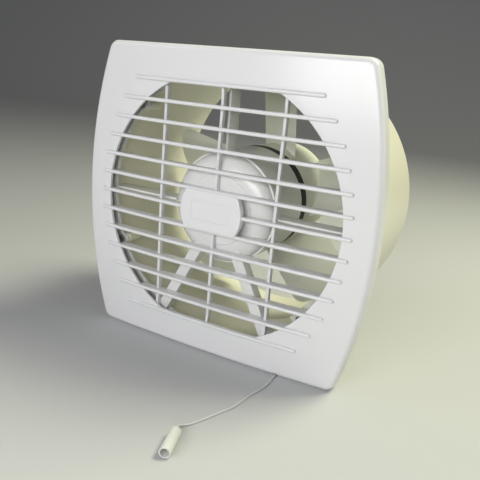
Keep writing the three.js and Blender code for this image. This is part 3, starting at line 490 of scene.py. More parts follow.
def block(x0, x1, y0, y1, z0, z1, edge=0.3 * MM):
    """A box with softened edges: a rounded section carried along x and drawn in at both ends."""
    half, middle = np.array([y1 - y0, z1 - z0]) / 2, np.array([y0 + y1, z0 + z1]) / 2
    soft = min(edge, 0.45 * half.min())
    ring, _ = outline(*half, 1000 * half[0] + 1, soft, steps=(1, 4, 1))
    bevel = 0.3 * soft
    places = (x0, x0, x0 + bevel, x0 + soft, x1 - soft, x1 - bevel, x1, x1)
    drawn_in = (half, soft, bevel, 0.0, 0.0, bevel, soft, half)
    rows = [
        np.insert(middle + ring * (1 - draw / half), 0, x, axis=1)
        for x, draw in zip(places, drawn_in)
    ]
    return grid(np.array(rows), close_columns=True)


def tray(half_length, half_width, round_radius, depth, wall, edge):
    """A stadium-shaped tray, long in x and open to the rear (+y), its front at y = 0."""
    ring, normal = outline(half_length, half_width, 1e3, round_radius, steps=(2, 16, 12))
    reach = half_length - round_radius
    spine = np.clip(ring, -reach, reach) * [1, 0]
    rows = [(spine, 0.0), *((ring - normal * inset, y) for inset, y in rounding(edge, 5))]
    rows += [(ring, depth - 0.2 * edge), (ring - normal * 0.2 * edge, depth)]
    rows += [(ring - normal * wall, depth), (ring - normal * wall, wall), (spine, wall)]
    return layers(rows)


def closed_mesh(name, surfaces):
    """One mesh from surfaces in fan coordinates, with doubles merged and faces outwards."""
    vertices, faces, start = [], [], 0
    for points, quads in surfaces:
        vertices.append(place(points))
        faces.append(quads + start)
        start += len(points)
    mesh = bpy.data.meshes.new(name)
    mesh.from_pydata(np.concatenate(vertices).tolist(), [], np.concatenate(faces).tolist())
    shape = bmesh.new()
    shape.from_mesh(mesh)
    bmesh.ops.remove_doubles(shape, verts=shape.verts, dist=1e-6)
    bmesh.ops.dissolve_degenerate(shape, edges=shape.edges, dist=1e-7)
    bmesh.ops.recalc_face_normals(shape, faces=shape.faces)
    shape.to_mesh(mesh)
    shape.free()
    return mesh


def carve(made, surfaces):
    """Take closed surfaces away from an object with one exact boolean."""
    cutter = bpy.data.objects.new("cutter", closed_mesh("cutter", surfaces))
    bpy.context.scene.collection.objects.link(cutter)
    cut = made.modifiers.new("carve", "BOOLEAN")
    cut.operation, cut.solver, cut.object = "DIFFERENCE", "EXACT", cutter
    evaluated = made.evaluated_get(bpy.context.evaluated_depsgraph_get())
    made.data = bpy.data.meshes.new_from_object(evaluated)
    made.modifiers.clear()
    bpy.data.objects.remove(cutter)


def make_piece(name, surfaces, finish, body, sharp=38.0, cutters=()):
    """One object from surfaces in fan coordinates: cutters taken away, edges crisp, on its body.

    Edges sharper than so many degrees stay crisp. A piece given no body is left unattached.
    """
    made = bpy.data.objects.new(name, closed_mesh(name, surfaces))
    bpy.context.scene.collection.objects.link(made)
    if cutters:
        carve(made, cutters)
    made.data.shade_smooth()
    made.data.set_sharp_from_angle(angle=math.radians(sharp))
    made.data.materials.append(bpy.data.materials[finish])
    if body:
        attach(made, body)
    return made


# ---------------------------------------------------------------- finishes

# how wide the blotches of a moulding's mottling are, and how high the grain of a surface is
MOTTLE_SIZE = 45 * MM
GRAIN_HEIGHT = 0.05 * MM


def node(tree, kind, inputs=None, to=None, **settings):
    """Add a node, with its settings, its inputs set or linked, and its first output linked on."""
    made = tree.nodes.new(kind)
    for key, value in settings.items():
        setattr(made, key, value)
    for socket, value in (inputs or {}).items():
        if isinstance(value, bpy.types.NodeSocket):
            tree.links.new(value, made.inputs[socket])
        else:
            made.inputs[socket].default_value = value
    if to:
        tree.links.new(made.outputs[0], to)
    return made


def new_material(name, **shader_inputs):
    """A material of one Principled shader: its tree, the shader's inputs and the coordinates."""
    material = bpy.data.materials.new(name)
    material.use_nodes = True
    tree = material.node_tree
    tree.nodes.clear()
    shader = node(tree, "ShaderNodeBsdfPrincipled", shader_inputs)
    node(tree, "ShaderNodeOutputMaterial", {"Surface": shader.outputs["BSDF"]})
    return tree, shader.inputs, node(tree, "ShaderNodeTexCoord").outputs["Object"]


def tone(rgb, factor=1.0):
    """A linear colour made lighter or darker, with the alpha that a socket wants."""
    return tuple(min(1.0, channel * factor) for channel in rgb) + (1.0,)


def moulded(name, rgb, roughness, grain, bump, mottling=0.02, **shader_inputs):
    """Moulded plastic: a faint mottling of its colour and gloss, and a fine surface grain."""
    tree, shader, coordinates = new_material(name, **shader_inputs)
    blotches = {"Vector": coordinates, "Scale": 1 / MOTTLE_SIZE, "Detail": 2.0}
    flow = node(tree, "ShaderNodeTexNoise", blotches).outputs["Fac"]
    # the inputs of a colour mix are its factor (0) and its colours (6 and 7), and 2 is its result
    tones = {0: flow, 6: tone(rgb, 1 - mottling), 7: tone(rgb, 1 + mottling)}
    mix = node(tree, "ShaderNodeMix", tones, data_type="RGBA")
    tree.links.new(mix.outputs[2], shader["Base Color"])
    spread = {"Value": flow, "From Min": 0.3, "From Max": 0.7}
    spread.update({"To Min": roughness * 0.9, "To Max": roughness * 1.1})
    node(tree, "ShaderNodeMapRange", spread, to=shader["Roughness"])
    pattern = {"Vector": coordinates, "Scale": 1 / grain, "Detail": 3.0}
    texture = node(tree, "ShaderNodeTexNoise", pattern)
    relief = {"Height": texture.outputs["Fac"], "Strength": bump, "Distance": GRAIN_HEIGHT}
    node(tree, "ShaderNodeBump", relief, to=shader["Normal"])


def gloss_white_abs(colours):
    # ABS from a polished mould: high gloss with a faint orange peel about 3 mm across
    moulded("gloss_white_abs", colours.cover, 0.09, 3.0 * MM, 0.04, IOR=1.53)


def bracket_white_abs(colours):
    # ABS from a polished mould, a little less glossy than the cover
    moulded("bracket_white_abs", colours.bracket, 0.15, 2.5 * MM, 0.05, IOR=1.53)


def cream_abs(colours):
    # ivory ABS from a plain steel mould: satin, with a fine even grain
    moulded("cream_abs", colours.duct, 0.34, 1.2 * MM, 0.1, mottling=0.03, IOR=1.53)


def impeller_polypropylene(colours):
    # unfilled polypropylene: waxy and milky, so that light from behind glows through the blades
    glow = {"Subsurface Weight": 0.35, "Subsurface Radius": (1.0, 1.0, 0.6)}
    glow.update({"Subsurface Scale": 4 * MM, "IOR": 1.49})
    moulded("impeller_polypropylene", colours.impeller, 0.36, 1.5 * MM, 0.08, **glow)


def black_abs(colours):
    # black ABS with a satin spark-eroded surface
    moulded("black_abs", colours.black, 0.42, 0.6 * MM, 0.2, mottling=0.1, IOR=1.53)


def nylon(colours):
    # natural nylon: warm, satin, slightly uneven from fast moulding
    moulded("nylon", colours.nylon, 0.4, 0.9 * MM, 0.12, mottling=0.04, IOR=1.53)


def handle_plastic(colours):
    # moulded polyethylene: soft satin that picks up small scuffs
    moulded("handle_plastic", colours.handle, 0.42, 0.5 * MM, 0.2, mottling=0.05, IOR=1.5)


def metal(name, rgb, roughness, grain, bump, stretch=(1, 1, 1)):
    """Bare or plated metal with a grain that may run one way."""
    base = {"Metallic": 1.0, "Base Color": tone(rgb)}
    tree, shader, coordinates = new_material(name, **base)
    mapping = node(tree, "ShaderNodeMapping", {"Vector": coordinates, "Scale": stretch})
    pattern = {"Vector": mapping.outputs["Vector"], "Scale": 1 / grain, "Detail": 4.0}
    texture = node(tree, "ShaderNodeTexNoise", pattern).outputs["Fac"]
    spread = {"Value": texture, "To Min": roughness * 0.75, "To Max": roughness * 1.25}
    node(tree, "ShaderNodeMapRange", spread, to=shader["Roughness"])
    relief = {"Height": texture, "Strength": bump, "Distance": GRAIN_HEIGHT}
    node(tree, "ShaderNodeBump", relief, to=shader["Normal"])


def zinc_plated_steel(colours):
    # bright zinc plate on turned screws: bluish, fairly sharp reflections
    metal("zinc_plated_steel", colours.zinc, 0.3, 0.5 * MM, 0.1)


def cast_zinc(colours):
    # die-cast zinc as cast: dull, with a sandy skin
    metal("cast_zinc", colours.casting, 0.52, 0.4 * MM, 0.35)


def laminated_steel(colours):
    # stacked motor steel: half-millimetre sheets show as lines across the axis
    metal("laminated_steel", colours.lamination, 0.45, 6.0 * MM, 0.6, stretch=(0.2, 12, 0.2))


def bronze(colours):
    # sintered bronze: open, oily pores
    metal("bronze", colours.bronze, 0.45, 0.3 * MM, 0.3)


def winding_tape(colours):
    # polyester tape over the winding: glossy, with the wires showing through as ridges
    base = {"IOR": 1.57, "Roughness": 0.28, "Base Color": tone(colours.tape)}
    tree, shader, coordinates = new_material("winding_tape", **base)
    # the waves repeat about every 0.31 of a unit, so this scale sets them a wire apart
    wire = 0.9 * MM
    waves = {"Vector": coordinates, "Scale": 0.31 / wire, "Distortion": 0.6}
    ridges = node(tree, "ShaderNodeTexWave", waves, bands_direction="X")
    relief = {"Height": ridges.outputs["Fac"], "Strength": 0.4, "Distance": 0.1 * MM}
    node(tree, "ShaderNodeBump", relief, to=shader["Normal"])


def polyester_cord(colours):
    # twisted polyester: matt fibres, lighter and darker along the strands
    tree, shader, coordinates = new_material("polyester_cord", IOR=1.5, Roughness=0.85)
    pattern = {"Vector": coordinates, "Scale": 1 / (0.35 * MM), "Detail": 4.0}
    fibres = node(tree, "ShaderNodeTexNoise", pattern)
    shade = {"Fac": fibres.outputs["Fac"]}
    ramp = node(tree, "ShaderNodeValToRGB", shade, to=shader["Base Color"]).color_ramp
    ramp.elements[0].color = tone(colours.cord, 0.82)
    ramp.elements[1].color = tone(colours.cord, 1.06)


def stage_paper(colours):
    # matt seamless paper: plain and pale, so that it takes a soft shadow
    new_material("stage_paper", **{"Roughness": 0.9, "Base Color": tone(colours.floor)})


FINISHES = (
    gloss_white_abs, bracket_white_abs, cream_abs, impeller_polypropylene, black_abs, nylon,
    handle_plastic, zinc_plated_steel, cast_zinc, laminated_steel, bronze, winding_tape,
    polyester_cord, stage_paper,
)


class FAN_OT_finishes(bpy.types.Operator):
    """Make every material and give the carried-over solids theirs"""

    bl_idname = "fan.finishes"
    bl_label = "Finishes"

    def execute(self, context):
        for finish in FINISHES:
            finish(context.scene.fan_colours)
        for part in frame["record"]["subparts"]:
            shape = frame["nodes"][part["node"]]
            shape.data.materials.clear()
            shape.data.materials.append(bpy.data.materials[part["material_slot"]])
        return {"FINISHED"}


# ---------------------------------------------------------------- stage

# the camera, solved from the photo: where it stands and its own right and up directions
CAMERA_PLACE = (189.5 * MM, -377.4 * MM, 194.2 * MM)
CAMERA_RIGHT = (0.8707, 0.4849, 0.0822)
CAMERA_UP = (-0.2064, 0.2087, 0.9560)
CAMERA_LENS = 43.57
SENSOR = 36.0
NEAREST_SEEN = 10 * MM
SKY_BRIGHTNESS = 0.17

# softboxes: name, place, point aimed at, width and height in metres, colour, and brightness, of
# which 1 is the white of paper
SOFTBOXES = (
    ("front_panel", (0.10, -0.68, 0.30), (0.10, 0.0, 0.17), 0.56, 0.20, "#FFFDFC", 8.7),
    ("rear_light", (0.46, 0.33, 0.90), (0.08, 0.02, 0.10), 0.40, 0.40, "#FFFEE0", 22.0),
    ("left_light", (-0.9, -0.7, 0.9), (0.0, 0.0, 0.1), 0.6, 0.6, "#FFFFFF", 1.8),
)


def add_camera(scene):
    """The camera where the photo was taken from."""
    right = Vector(CAMERA_RIGHT).normalized()
    back = right.cross(Vector(CAMERA_UP)).normalized()
    up = back.cross(right)
    data = bpy.data.cameras.new("camera")
    data.lens = CAMERA_LENS
    data.sensor_width = SENSOR
    data.clip_start = NEAREST_SEEN
    camera = bpy.data.objects.new("camera", data)
    turn = Matrix((right, up, back)).transposed().to_4x4()
    camera.matrix_world = Matrix.Translation(CAMERA_PLACE) @ turn
    scene.collection.objects.link(camera)
    scene.camera = camera


def add_softbox(scene, name, position, aim, width, height, code, brightness):
    """An area lamp that the camera does not see, its power in proportion to its area."""
    data = bpy.data.lights.new(name, "AREA")
    data.shape = "RECTANGLE"
    data.size, data.size_y = width, height
    data.color = linear(code)
    data.energy = brightness * math.pi * width * height
    light = bpy.data.objects.new(name, data)
    light.location = position
    direction = Vector(aim) - Vector(position)
    light.rotation_euler = direction.to_track_quat("-Z", "Y").to_euler()
    light.visible_camera = False
    scene.collection.objects.link(light)


def add_backdrop(scene):
    """A seamless sweep: a floor that curves up into a wall behind the fan."""
    half_width, front, wall_y, bend, top = 4.0, -3.0, 2.2, 0.8, 3.5
    a = quarter(24)
    y = np.concatenate([[front], wall_y - bend + bend * np.sin(a), [wall_y]])
    z = np.concatenate([[0.0], bend * (1 - np.cos(a)), [top]])
    x = np.array([-half_width, half_width])
    vertices, faces = grid(xyz(x[:, None], y, z))
    mesh = bpy.data.meshes.new("backdrop")
    mesh.from_pydata(vertices.tolist(), [], faces[:, ::-1].tolist())
    mesh.shade_smooth()
    mesh.materials.append(bpy.data.materials["stage_paper"])
    sweep = bpy.data.objects.new("backdrop", mesh)
    scene.collection.objects.link(sweep)


class FAN_OT_stage(bpy.types.Operator):
    """Set up the camera, the softboxes, the sky and the backdrop"""

    bl_idname = "fan.stage"
    bl_label = "Stage"

    def execute(self, context):
        scene = context.scene
        scene.view_settings.view_transform = "Standard"
        add_camera(scene)
        for box in SOFTBOXES:
            add_softbox(scene, *box)
        add_backdrop(scene)
        world = bpy.data.worlds.new("soft_sky")
        world.use_nodes = True
        sky = world.node_tree.nodes["Background"]
        sky.inputs["Color"].default_value = (1.0, 1.0, 1.0, 1.0)
        sky.inputs["Strength"].default_value = SKY_BRIGHTNESS
        scene.world = world
        return {"FINISHED"}


# ---------------------------------------------------------------- front cover


def dome(cover, x, z):
    """Depth of the cover's face: each distance squared, over twice the radius that way, added."""
    return x**2 / (2 * cover.dome_across) + z**2 / (2 * cover.dome_up)


def cover_plate(cover):
    """The plate and rim: between the opening and the outline, one closed section all round.

    The rows near the opening and the rim go round quarter circles, and those between are an even
    mix of the two outlines. All of them but the flat rear edge follow the dome.
    """
    rim, out = outline(cover.half_width, cover.half_height, cover.side_radius, cover.corner_radius)
    hole, away = outline(cover.opening_radius, cover.opening_flat, cover.opening_radius, 1.0 * MM)
    edge, fillet, wall, rim_wall = cover.opening_edge, cover.edge_round, cover.wall, cover.rim_wall
    chamfer = 0.4 * MM
    inner, start = hole + away * edge, rim - out * fillet
    between = [inner + (start - inner) * share for share in np.linspace(0, 1, 9)[1:-1]]
    soft, hollow = rounding(edge, 7), rounding(fillet - rim_wall, 7)
    domed = [(hole + away * inset, wall - down) for inset, down in soft[::-1]]
    domed += [(hole + away * down, inset) for inset, down in soft]
    domed += [(points, 0.0) for points in between]
    domed += [(rim - out * inset, down) for inset, down in rounding(fillet, 12)]
    hidden = [(rim - out * (rim_wall + inset), wall + down) for inset, down in hollow[::-1]]
    hidden += [(points, wall) for points in between[::-1]]
    flat = [(rim, cover.depth - chamfer), (rim - out * chamfer, cover.depth)]
    flat.append((rim - out * rim_wall, cover.depth))
    follow = lambda rows: [(points, dome(cover, *points.T) + below) for points, below in rows]
    return layers(follow(domed) + flat + follow(hidden), close_rows=True)


def bar_height(cover, row):
    """Height of a bar above the axis; rows count from the top."""
    return ((cover.bar_count - 1) / 2 - row) * cover.bar_pitch


def cross_bar(cover, row):
    """A round bar that follows the dome, with half-sphere ends.

    Its ends lie on two arcs, each with its centre past the middle on the other side.
    """
    z = bar_height(cover, row)
    half = math.sqrt(cover.bar_arc**2 - z**2) - cover.bar_offset
    x, radii = rounded_ends(-half, half, cover.bar_radius)
    return tube(xyz(x, dome(cover, x, z) - cover.bar_proud, z), radii)


def cross_blade(cover, row):
    """The flat blade behind a bar: a soft-edged section carried across the opening on the dome."""
    z = bar_height(cover, row)
    half = math.sqrt(cover.opening_radius**2 - z**2) + cover.blade_root
    x = np.linspace(-half, half, 60)[:, None]
    deep, thick = cover.blade_depth / 2, cover.blade_thickness / 2
    section, _ = outline(deep, thick, 1.0, 0.8 * thick, steps=(2, 5, 3))
    return capped(xyz(x, dome(cover, x, z) + deep + section[:, 0], z + section[:, 1]))


def upright_strip(cover, x):
    """A strip among the blades: a small rounded section carried along the dome, its ends forward.

    The ends come forward with the twelfth power of the distance from the middle.
    """
    half = bar_height(cover, 0)
    z = np.linspace(-half, half, 60)[:, None]
    deep = cover.strip_depth / 2
    section, _ = outline(cover.strip_width / 2, deep, 1.0, 0.35 * MM, steps=(2, 4, 2))
    front = cover.strip_front - cover.strip_lift * (z / half) ** 12
    depth = dome(cover, x, z) + front + deep + section[:, 1]
    return capped(xyz(x + section[:, 0], depth, z))


def push_peg(cover, x, z):
    """A plain peg that grows out of the plate's back and pushes into the housing."""
    r, overlap, soft = cover.peg_radius, 0.5 * MM, 0.6 * MM
    root = dome(cover, x, z) + cover.wall - overlap
    end = root + cover.peg_reach + overlap
    tip = arc((r - soft, end - soft), soft, 0, 90, 5)
    profile = joined([[0, root], [r, root]], tip, [[0, end]])
    return shift(revolve(profile, 32, closed=False), x=x, z=z)


class FAN_OT_front_cover(bpy.types.Operator):
    """Build the domed cover with its bars, strips and pegs"""

    bl_idname = "fan.front_cover"
    bl_label = "Front cover"

    def execute(self, context):
        cover = context.scene.fan_cover
        cord_x, cord_y = (distance * MM for distance in CORD_ROUTE[0])
        half, over, table = cover.notch_width / 2, 1 * MM, -cover.half_height
        across, through = (cord_x - half, cord_x + half), (-over, cord_y + half)
        notch = block(*across, *through, table - over, table + cover.notch_height)
        rows = range(cover.bar_count)
        asides = [cover.strip_aside + side * cover.strip_spacing for side in (-1, 0, 1)]
        corners = four_corners(cover.peg_x, cover.peg_z)
        pieces = {
            "cover_bars": [cross_bar(cover, row) for row in rows],
            "cover_blades": [cross_blade(cover, row) for row in rows[1:-1]],
            "cover_strips": [upright_strip(cover, x) for x in asides],
            "cover_pegs": [push_peg(cover, x, z) for x, z in corners],
        }
        shell = [cover_plate(cover)]
        plate = make_piece("cover_plate", shell, "gloss_white_abs", "housing", cutters=[notch])
        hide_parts("front_cover")
        for name, surfaces in pieces.items():
            make_piece(name, surfaces, "gloss_white_abs", "housing")
        return {"FINISHED"}


class FAN_OT_name_plate(bpy.types.Operator):
    """Build the bare plate with its sunk field"""

    bl_idname = "fan.name_plate"
    bl_label = "Name plate"

    def execute(self, context):
        plate = context.scene.fan_plate
        steps, lip, r = (16, 6, 16), 0.15 * MM, plate.radius
        edge, out = outline(r, plate.half_height, r, plate.corner_radius, steps)
        width, height, corner = plate.field_width, plate.field_height, plate.field_corner
        field, away = outline(width, height, 10.0, corner, steps)
        front = -NAME_PLATE_PROUD
        back, floor = front + plate.thickness, front + plate.field_depth
        soft, brink = rounding(plate.edge_round, 7), rounding(lip, 4)
        # from the middle of the back round the edge, over the face and down into the field
        rows = [(edge * 0, back), (edge, back)]
        rows += [(edge - out * inset, front + down) for inset, down in soft[::-1]]
        rows.append(((edge - out * plate.edge_round + field) / 2, front))
        rows += [(field + away * inset, front + down) for inset, down in brink]
        rows += [(field - away * inset, floor - down) for inset, down in brink[::-1]]
        rows.append((field * 0, floor))
        make_piece("name_plate", [layers(rows)], "gloss_white_abs", "housing", sharp=50)
        return {"FINISHED"}


# ---------------------------------------------------------------- duct housing


def flange_plate(cover, duct):
    """The wall flange: from the duct's bore out to just inside the cover's rim."""
    rim, out = outline(cover.half_width, cover.half_height, cover.side_radius, cover.corner_radius)
    rim = rim - out * (cover.rim_wall + duct.flange_gap)
    polar = np.arctan2(rim[:, 1], rim[:, 0])
    bore = (duct.radius - duct.wall) * np.stack([np.cos(polar), np.sin(polar)], axis=1)
    front, back, soft = cover.depth - duct.flange, cover.depth, 0.3 * MM
    rows = [(bore, back), (bore, front), ((bore + rim) / 2, front), (rim - out * soft, front)]
    rows += [(rim, front + soft), (rim, back - soft), (rim - out * soft, back)]
    return layers(rows, close_rows=True)


def wall_slot(cover, duct, x, z):
    """The space of one upright slot: a stadium outline carried through the flange along y."""
    w = duct.slot_width / 2
    ring, _ = outline(w, duct.slot_length / 2, 1000 * w, w * 0.99, steps=(2, 12, 1))
    front, back = cover.depth - duct.flange - MM, cover.depth + MM
    middle = np.array([x, z]) + ring * 0
    return layers([(middle, front), (middle + ring, front), (middle + ring, back), (middle, back)])


def ring_seat(duct, radius, front, rear, turn):
    """A round seat with a screw hole, where a ring screw stands."""
    section = [[RING_SCREW_HOLE, front], [radius, front], [radius, rear], [RING_SCREW_HOLE, rear]]
    return spin(shift(revolve(section, 32), x=duct.boss_place), math.radians(turn))


class FAN_OT_duct_housing(bpy.types.Operator):
    """Build the flange and the round duct with their bosses and sockets"""

    bl_idname = "fan.duct_housing"
    bl_label = "Duct housing"

    def execute(self, context):
        scene = context.scene
        cover, duct, bracket = scene.fan_cover, scene.fan_duct, scene.fan_bracket
        inner, outer, soft = duct.radius - duct.wall, duct.radius, 0.9 * MM
        front = cover.depth - duct.flange
        wall = joined(
            [[inner, front], [inner, duct.rear - soft]],
            arc((inner + soft, duct.rear - soft), soft, 180, 90, 6),
            arc((outer - soft, duct.rear - soft), soft, 90, 0, 6),
            [[outer, cover.depth - 0.5 * duct.flange]],
        )
        across, up = (duct.slot_place * f(duct.slot_angle) for f in (math.cos, math.sin))
        slots = [wall_slot(cover, duct, x, z) for x, z in four_corners(across, up)]
        plate = [flange_plate(cover, duct)]
        flange = make_piece("wall_flange", plate, "cream_abs", "housing", cutters=slots)
        half, end = duct.pad_width / 2, duct.pad_front + duct.pad_length
        pad = block(inner - duct.pad_height, inner + MM, duct.pad_front, end, -half, half)
        surfaces = [revolve(wall, 192), spin(pad, duct.pad_angle)]
        bore, broad = cover.peg_radius + SEAT_GAP, duct.socket_radius
        root, top = front + 0.2 * MM, front - duct.socket_height
        socket = revolve([[bore, root], [bore, top], [broad, top], [broad, root]], 40)
        surfaces += [shift(socket, x=x, z=z) for x, z in four_corners(cover.peg_x, cover.peg_z)]
        seat = bracket.hoop_front + bracket.lug_thickness + SEAT_GAP
        for turn in RING_SCREW_ANGLES:
            surfaces.append(ring_seat(duct, duct.boss_radius, seat, seat + duct.boss_length, turn))
        body = make_piece("round_duct", surfaces, "cream_abs", "housing")
        for made in (flange, body):
            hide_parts("duct_housing")
        return {"FINISHED"}


# ---------------------------------------------------------------- motor bracket


def cup_profile(b):
    """The cup's section: a face with a fine step, a quarter-ellipse shoulder and a plain wall."""
    r, wall, front, bend, step = b.cup_radius, b.cup_wall, b.cup_front, b.cup_bend, b.cup_step
    t, rise, bevel = quarter(24), bend - front - step, 0.25 * MM
    face, width = b.cup_face, b.cup_shoulder - b.cup_face
    curve = np.stack([face + width * np.sin(t), bend - rise * np.cos(t)], axis=1)
    hollow = np.stack([face + (width - wall) * np.sin(t), bend + wall - rise * np.cos(t)], axis=1)
    return joined(
        [[0, front], [face - step, front]],
        arc((face - step, front + step), step, -90, 0, 5),
        curve,
        [[r - bevel, bend], [r, bend + bevel], [r, b.cup_rear]],
        [[r - wall, b.cup_rear], [r - wall, bend + wall]],
        hollow[-4::-1],
        [[0, front + wall]],
    )


def bracket_leg(b, side):
    """A channel leg: a round-ended tray, one end hidden in the cup and the other at the foot."""
    w, start = b.leg_width / 2, b.cup_shoulder - 8 * MM
    end = b.leg_reach + w
    body = tray((end - start) / 2, w, w * 0.98, b.leg_depth, b.leg_wall, 0.5 * MM)
    body = shift(body, x=(start + end) / 2, y=b.leg_front)
    return spin(body, -math.pi / 2 + side * b.leg_spread)


def lead_recess(b):
    """The space of the leads' recess: a rectangle of radius and depth carried round the axis."""
    turn = np.linspace(b.recess_from, b.recess_to, 12)[:, None]
    low, high = b.cup_radius - b.recess_depth, b.cup_radius + 2 * MM
    radius = np.array([low, high, high, low])
    depth = np.array([b.recess_front] * 2 + [b.recess_rear] * 2)
    return capped(xyz(radius * np.cos(turn), depth, radius * np.sin(turn)))


class FAN_OT_motor_bracket(bpy.types.Operator):
    """Build the hoop, vanes, legs and motor cup"""

    bl_idname = "fan.motor_bracket"
    bl_label = "Motor bracket"

    def execute(self, context):
        b, duct = context.scene.fan_bracket, context.scene.fan_duct
        y0, y1, soft = b.hoop_front, b.hoop_front + b.hoop_thickness, 0.5 * MM
        hoop = joined(
            arc((b.hoop_inner + soft, y0 + soft), soft, 180, 270, 4),
            arc((b.hoop_outer - soft, y0 + soft), soft, -90, 0, 4),
            [[b.hoop_outer, y1], [b.hoop_inner, y1]],
        )
        recess, shell = lead_recess(b), revolve(cup_profile(b), 144, closed=False)
        cup = make_piece("motor_cup", [shell], "bracket_white_abs", "housing", cutters=[recess])
        surfaces = [revolve(hoop, 160)]
        for turn in RING_SCREW_ANGLES:
            surfaces.append(ring_seat(duct, b.lug_radius, y0, y0 + b.lug_thickness, turn))
        half, start, end = b.vane_thickness / 2, b.cup_radius - 1 * MM, b.hoop_inner + 1.5 * MM
        vane = block(start, end, y0, y0 + b.vane_depth, -half, half)
        surfaces += [spin(vane, math.radians(turn)) for turn in (0, 90, 180)]
        surfaces += [bracket_leg(b, side) for side in (-1, 1)]
        body = make_piece("bracket", surfaces, "bracket_white_abs", "housing")
        for made in (cup, body):
            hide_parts("motor_bracket")
        return {"FINISHED"}


class FAN_OT_end_cap(bpy.types.Operator):
    """Build the black cap behind the motor cup"""

    bl_idname = "fan.end_cap"
    bl_label = "Motor end cap"

    def execute(self, context):
        b = context.scene.fan_bracket
        r, front, rear = b.cup_radius, b.cup_rear + SEAT_GAP, b.cap_rear
        lip, wall, soft = r - b.cup_wall - SEAT_GAP, 1.8 * MM, 0.8 * MM
        hole, skirt = 4.5 * MM, front - 4.5 * MM
        profile = joined(
            [[lip, skirt], [lip, front], [r, front]],
            arc((r - soft, rear - soft), soft, 0, 90, 6),
            [[hole, rear], [hole, rear - wall]],
            [[lip - wall, rear - wall], [lip - wall, skirt]],
        )
        cap = make_piece("end_cap", [revolve(profile, 144)], "black_abs", "housing")
        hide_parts("motor_end_cap")
        return {"FINISHED"}


# ---------------------------------------------------------------- impeller


def impeller_blade(i):
    """One blade, its middle line along +x.

    A point t of the way from root to tip and s of the way from front edge to rear edge lies
    aside of the middle line by a length that goes evenly from one edge to the other, so it stays
    on its own cylinder. Its depth goes evenly too, less a bow of one parabola. The tip's corners
    are drawn in by the sixth power of the distance from mid chord. The thickness thins from mid
    chord to both edges, and swells at the root in a fillet.
    """
    t = np.linspace(0, 1, 44)[:, None] ** 1.3
    s = 0.5 - 0.5 * np.cos(np.linspace(0, np.pi, 40))[None]
    mix = lambda a, b, share: a + (b - a) * share
    bow = 1 - (2 * s - 1) ** 2
    before = mix(i.front_root_side, i.front_tip_side, t)
    aside = mix(-before, mix(i.rear_root_side, i.rear_tip_side, t), s)
    tip = i.tip_radius - i.tip_drop * (2 * s - 1) ** 6
    root = i.hub_radius - 1 * MM
    radius = mix(root, tip, t)
    fillet = np.clip(1 - (radius - i.hub_radius) / i.root_fillet, 0, 1) ** 2 * i.root_fillet
    sharp, thin = 0.35 * i.edge_thickness, 1 - (1 - bow) ** 4
    half = mix(sharp, mix(i.edge_thickness, i.thickness, bow), thin) / 2 + fillet * bow
    along = np.sqrt(radius**2 - aside**2)
    depth = mix(mix(i.front_root, i.front_tip, t), mix(i.rear_root, i.rear_tip, t), s)
    depth = depth - i.camber * bow
    over, under = xyz(along, depth + half, aside), xyz(along, depth - half, aside)
    skin = np.concatenate([over, under[:, ::-1]], axis=1)
    middle_line = (skin + skin[:, ::-1]) / 2
    return grid(np.concatenate([middle_line[:1], skin, middle_line[-1:]]), close_columns=True)


def hub_profile(i):
    """The hub's section: a deep shell open to the front, its nose sunk round the shaft's nut."""
    r, front, rear, wall = i.hub_radius, i.hub_front, i.hub_rear, i.hub_wall
    floor, soft, boss_front = rear - i.recess_depth, 0.5 * MM, front + 4 * MM
    well = i.recess_radius
    return joined(
        [[i.bore, boss_front], [i.boss_radius, boss_front], [i.boss_radius, floor - wall]],
        [[well + wall, floor - wall], [well + wall, rear - wall]],
        arc((r - i.shoulder, rear - i.shoulder), i.shoulder - wall, 90, 0, 8),
        arc((r - soft - wall + 2 * soft, front + soft), soft, 180, 270, 4),
        arc((r - soft, front + soft), soft, -90, 0, 4),
        arc((r - i.shoulder, rear - i.shoulder), i.shoulder, 0, 90, 12),
        arc((well + soft, rear - soft), soft, 90, 180, 4),
        [[well, floor], [i.bore, floor]],
    )


class FAN_OT_impeller(bpy.types.Operator):
    """Build the impeller's hub and blades"""

    bl_idname = "fan.impeller"
    bl_label = "Impeller"

    def execute(self, context):
        i = context.scene.fan_impeller
        blade = impeller_blade(i)
        turns = i.blade_angle + 2 * np.pi * np.arange(i.blade_count) / i.blade_count
        surfaces = [revolve(hub_profile(i), 160), *(spin(blade, turn) for turn in turns)]
        wheel = make_piece("fan_wheel", surfaces, "impeller_polypropylene", "impeller")
        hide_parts("impeller")
        return {"FINISHED"}


# ---------------------------------------------------------------- pull cord


def cord_path(cord):
    """The free cord's route along the table and up into the handle, in fan coordinates."""
    table = -AXIS_Z
    flat = [(x * MM, y * MM, table + cord.radius + cord.clear) for x, y in CORD_ROUTE]
    ux, uy = math.sin(-cord.handle_turn), -math.cos(cord.handle_turn)
    hx, hy = HANDLE_START
    rise = [((hx + ux * d) * MM, (hy + uy * d) * MM, table + z * MM) for d, z in CORD_RISE]
    path = curve_through(flat + rise, 0.25 * MM)
    path[:, 2] = np.maximum(path[:, 2], table + cord.radius + cord.clear)
    return path


def coil_spring(c, low, high):
    """A wire wound as a helix that fills a box: its angle and its height grow together."""
    turn = np.linspace(0, 2 * np.pi * c.spring_turns, 20 * c.spring_turns + 1)
    radius = (high[0] - low[0]) / 2 - c.spring_wire
    x, y, _ = (low + high) / 2
    rise = high[2] - low[2] - 2 * c.spring_wire
    z = low[2] + c.spring_wire + rise * turn / turn[-1]
    path = xyz(x + radius * np.cos(turn), y + radius * np.sin(turn), z)
    return tube(path, closed_ends(path, c.spring_wire), 8)


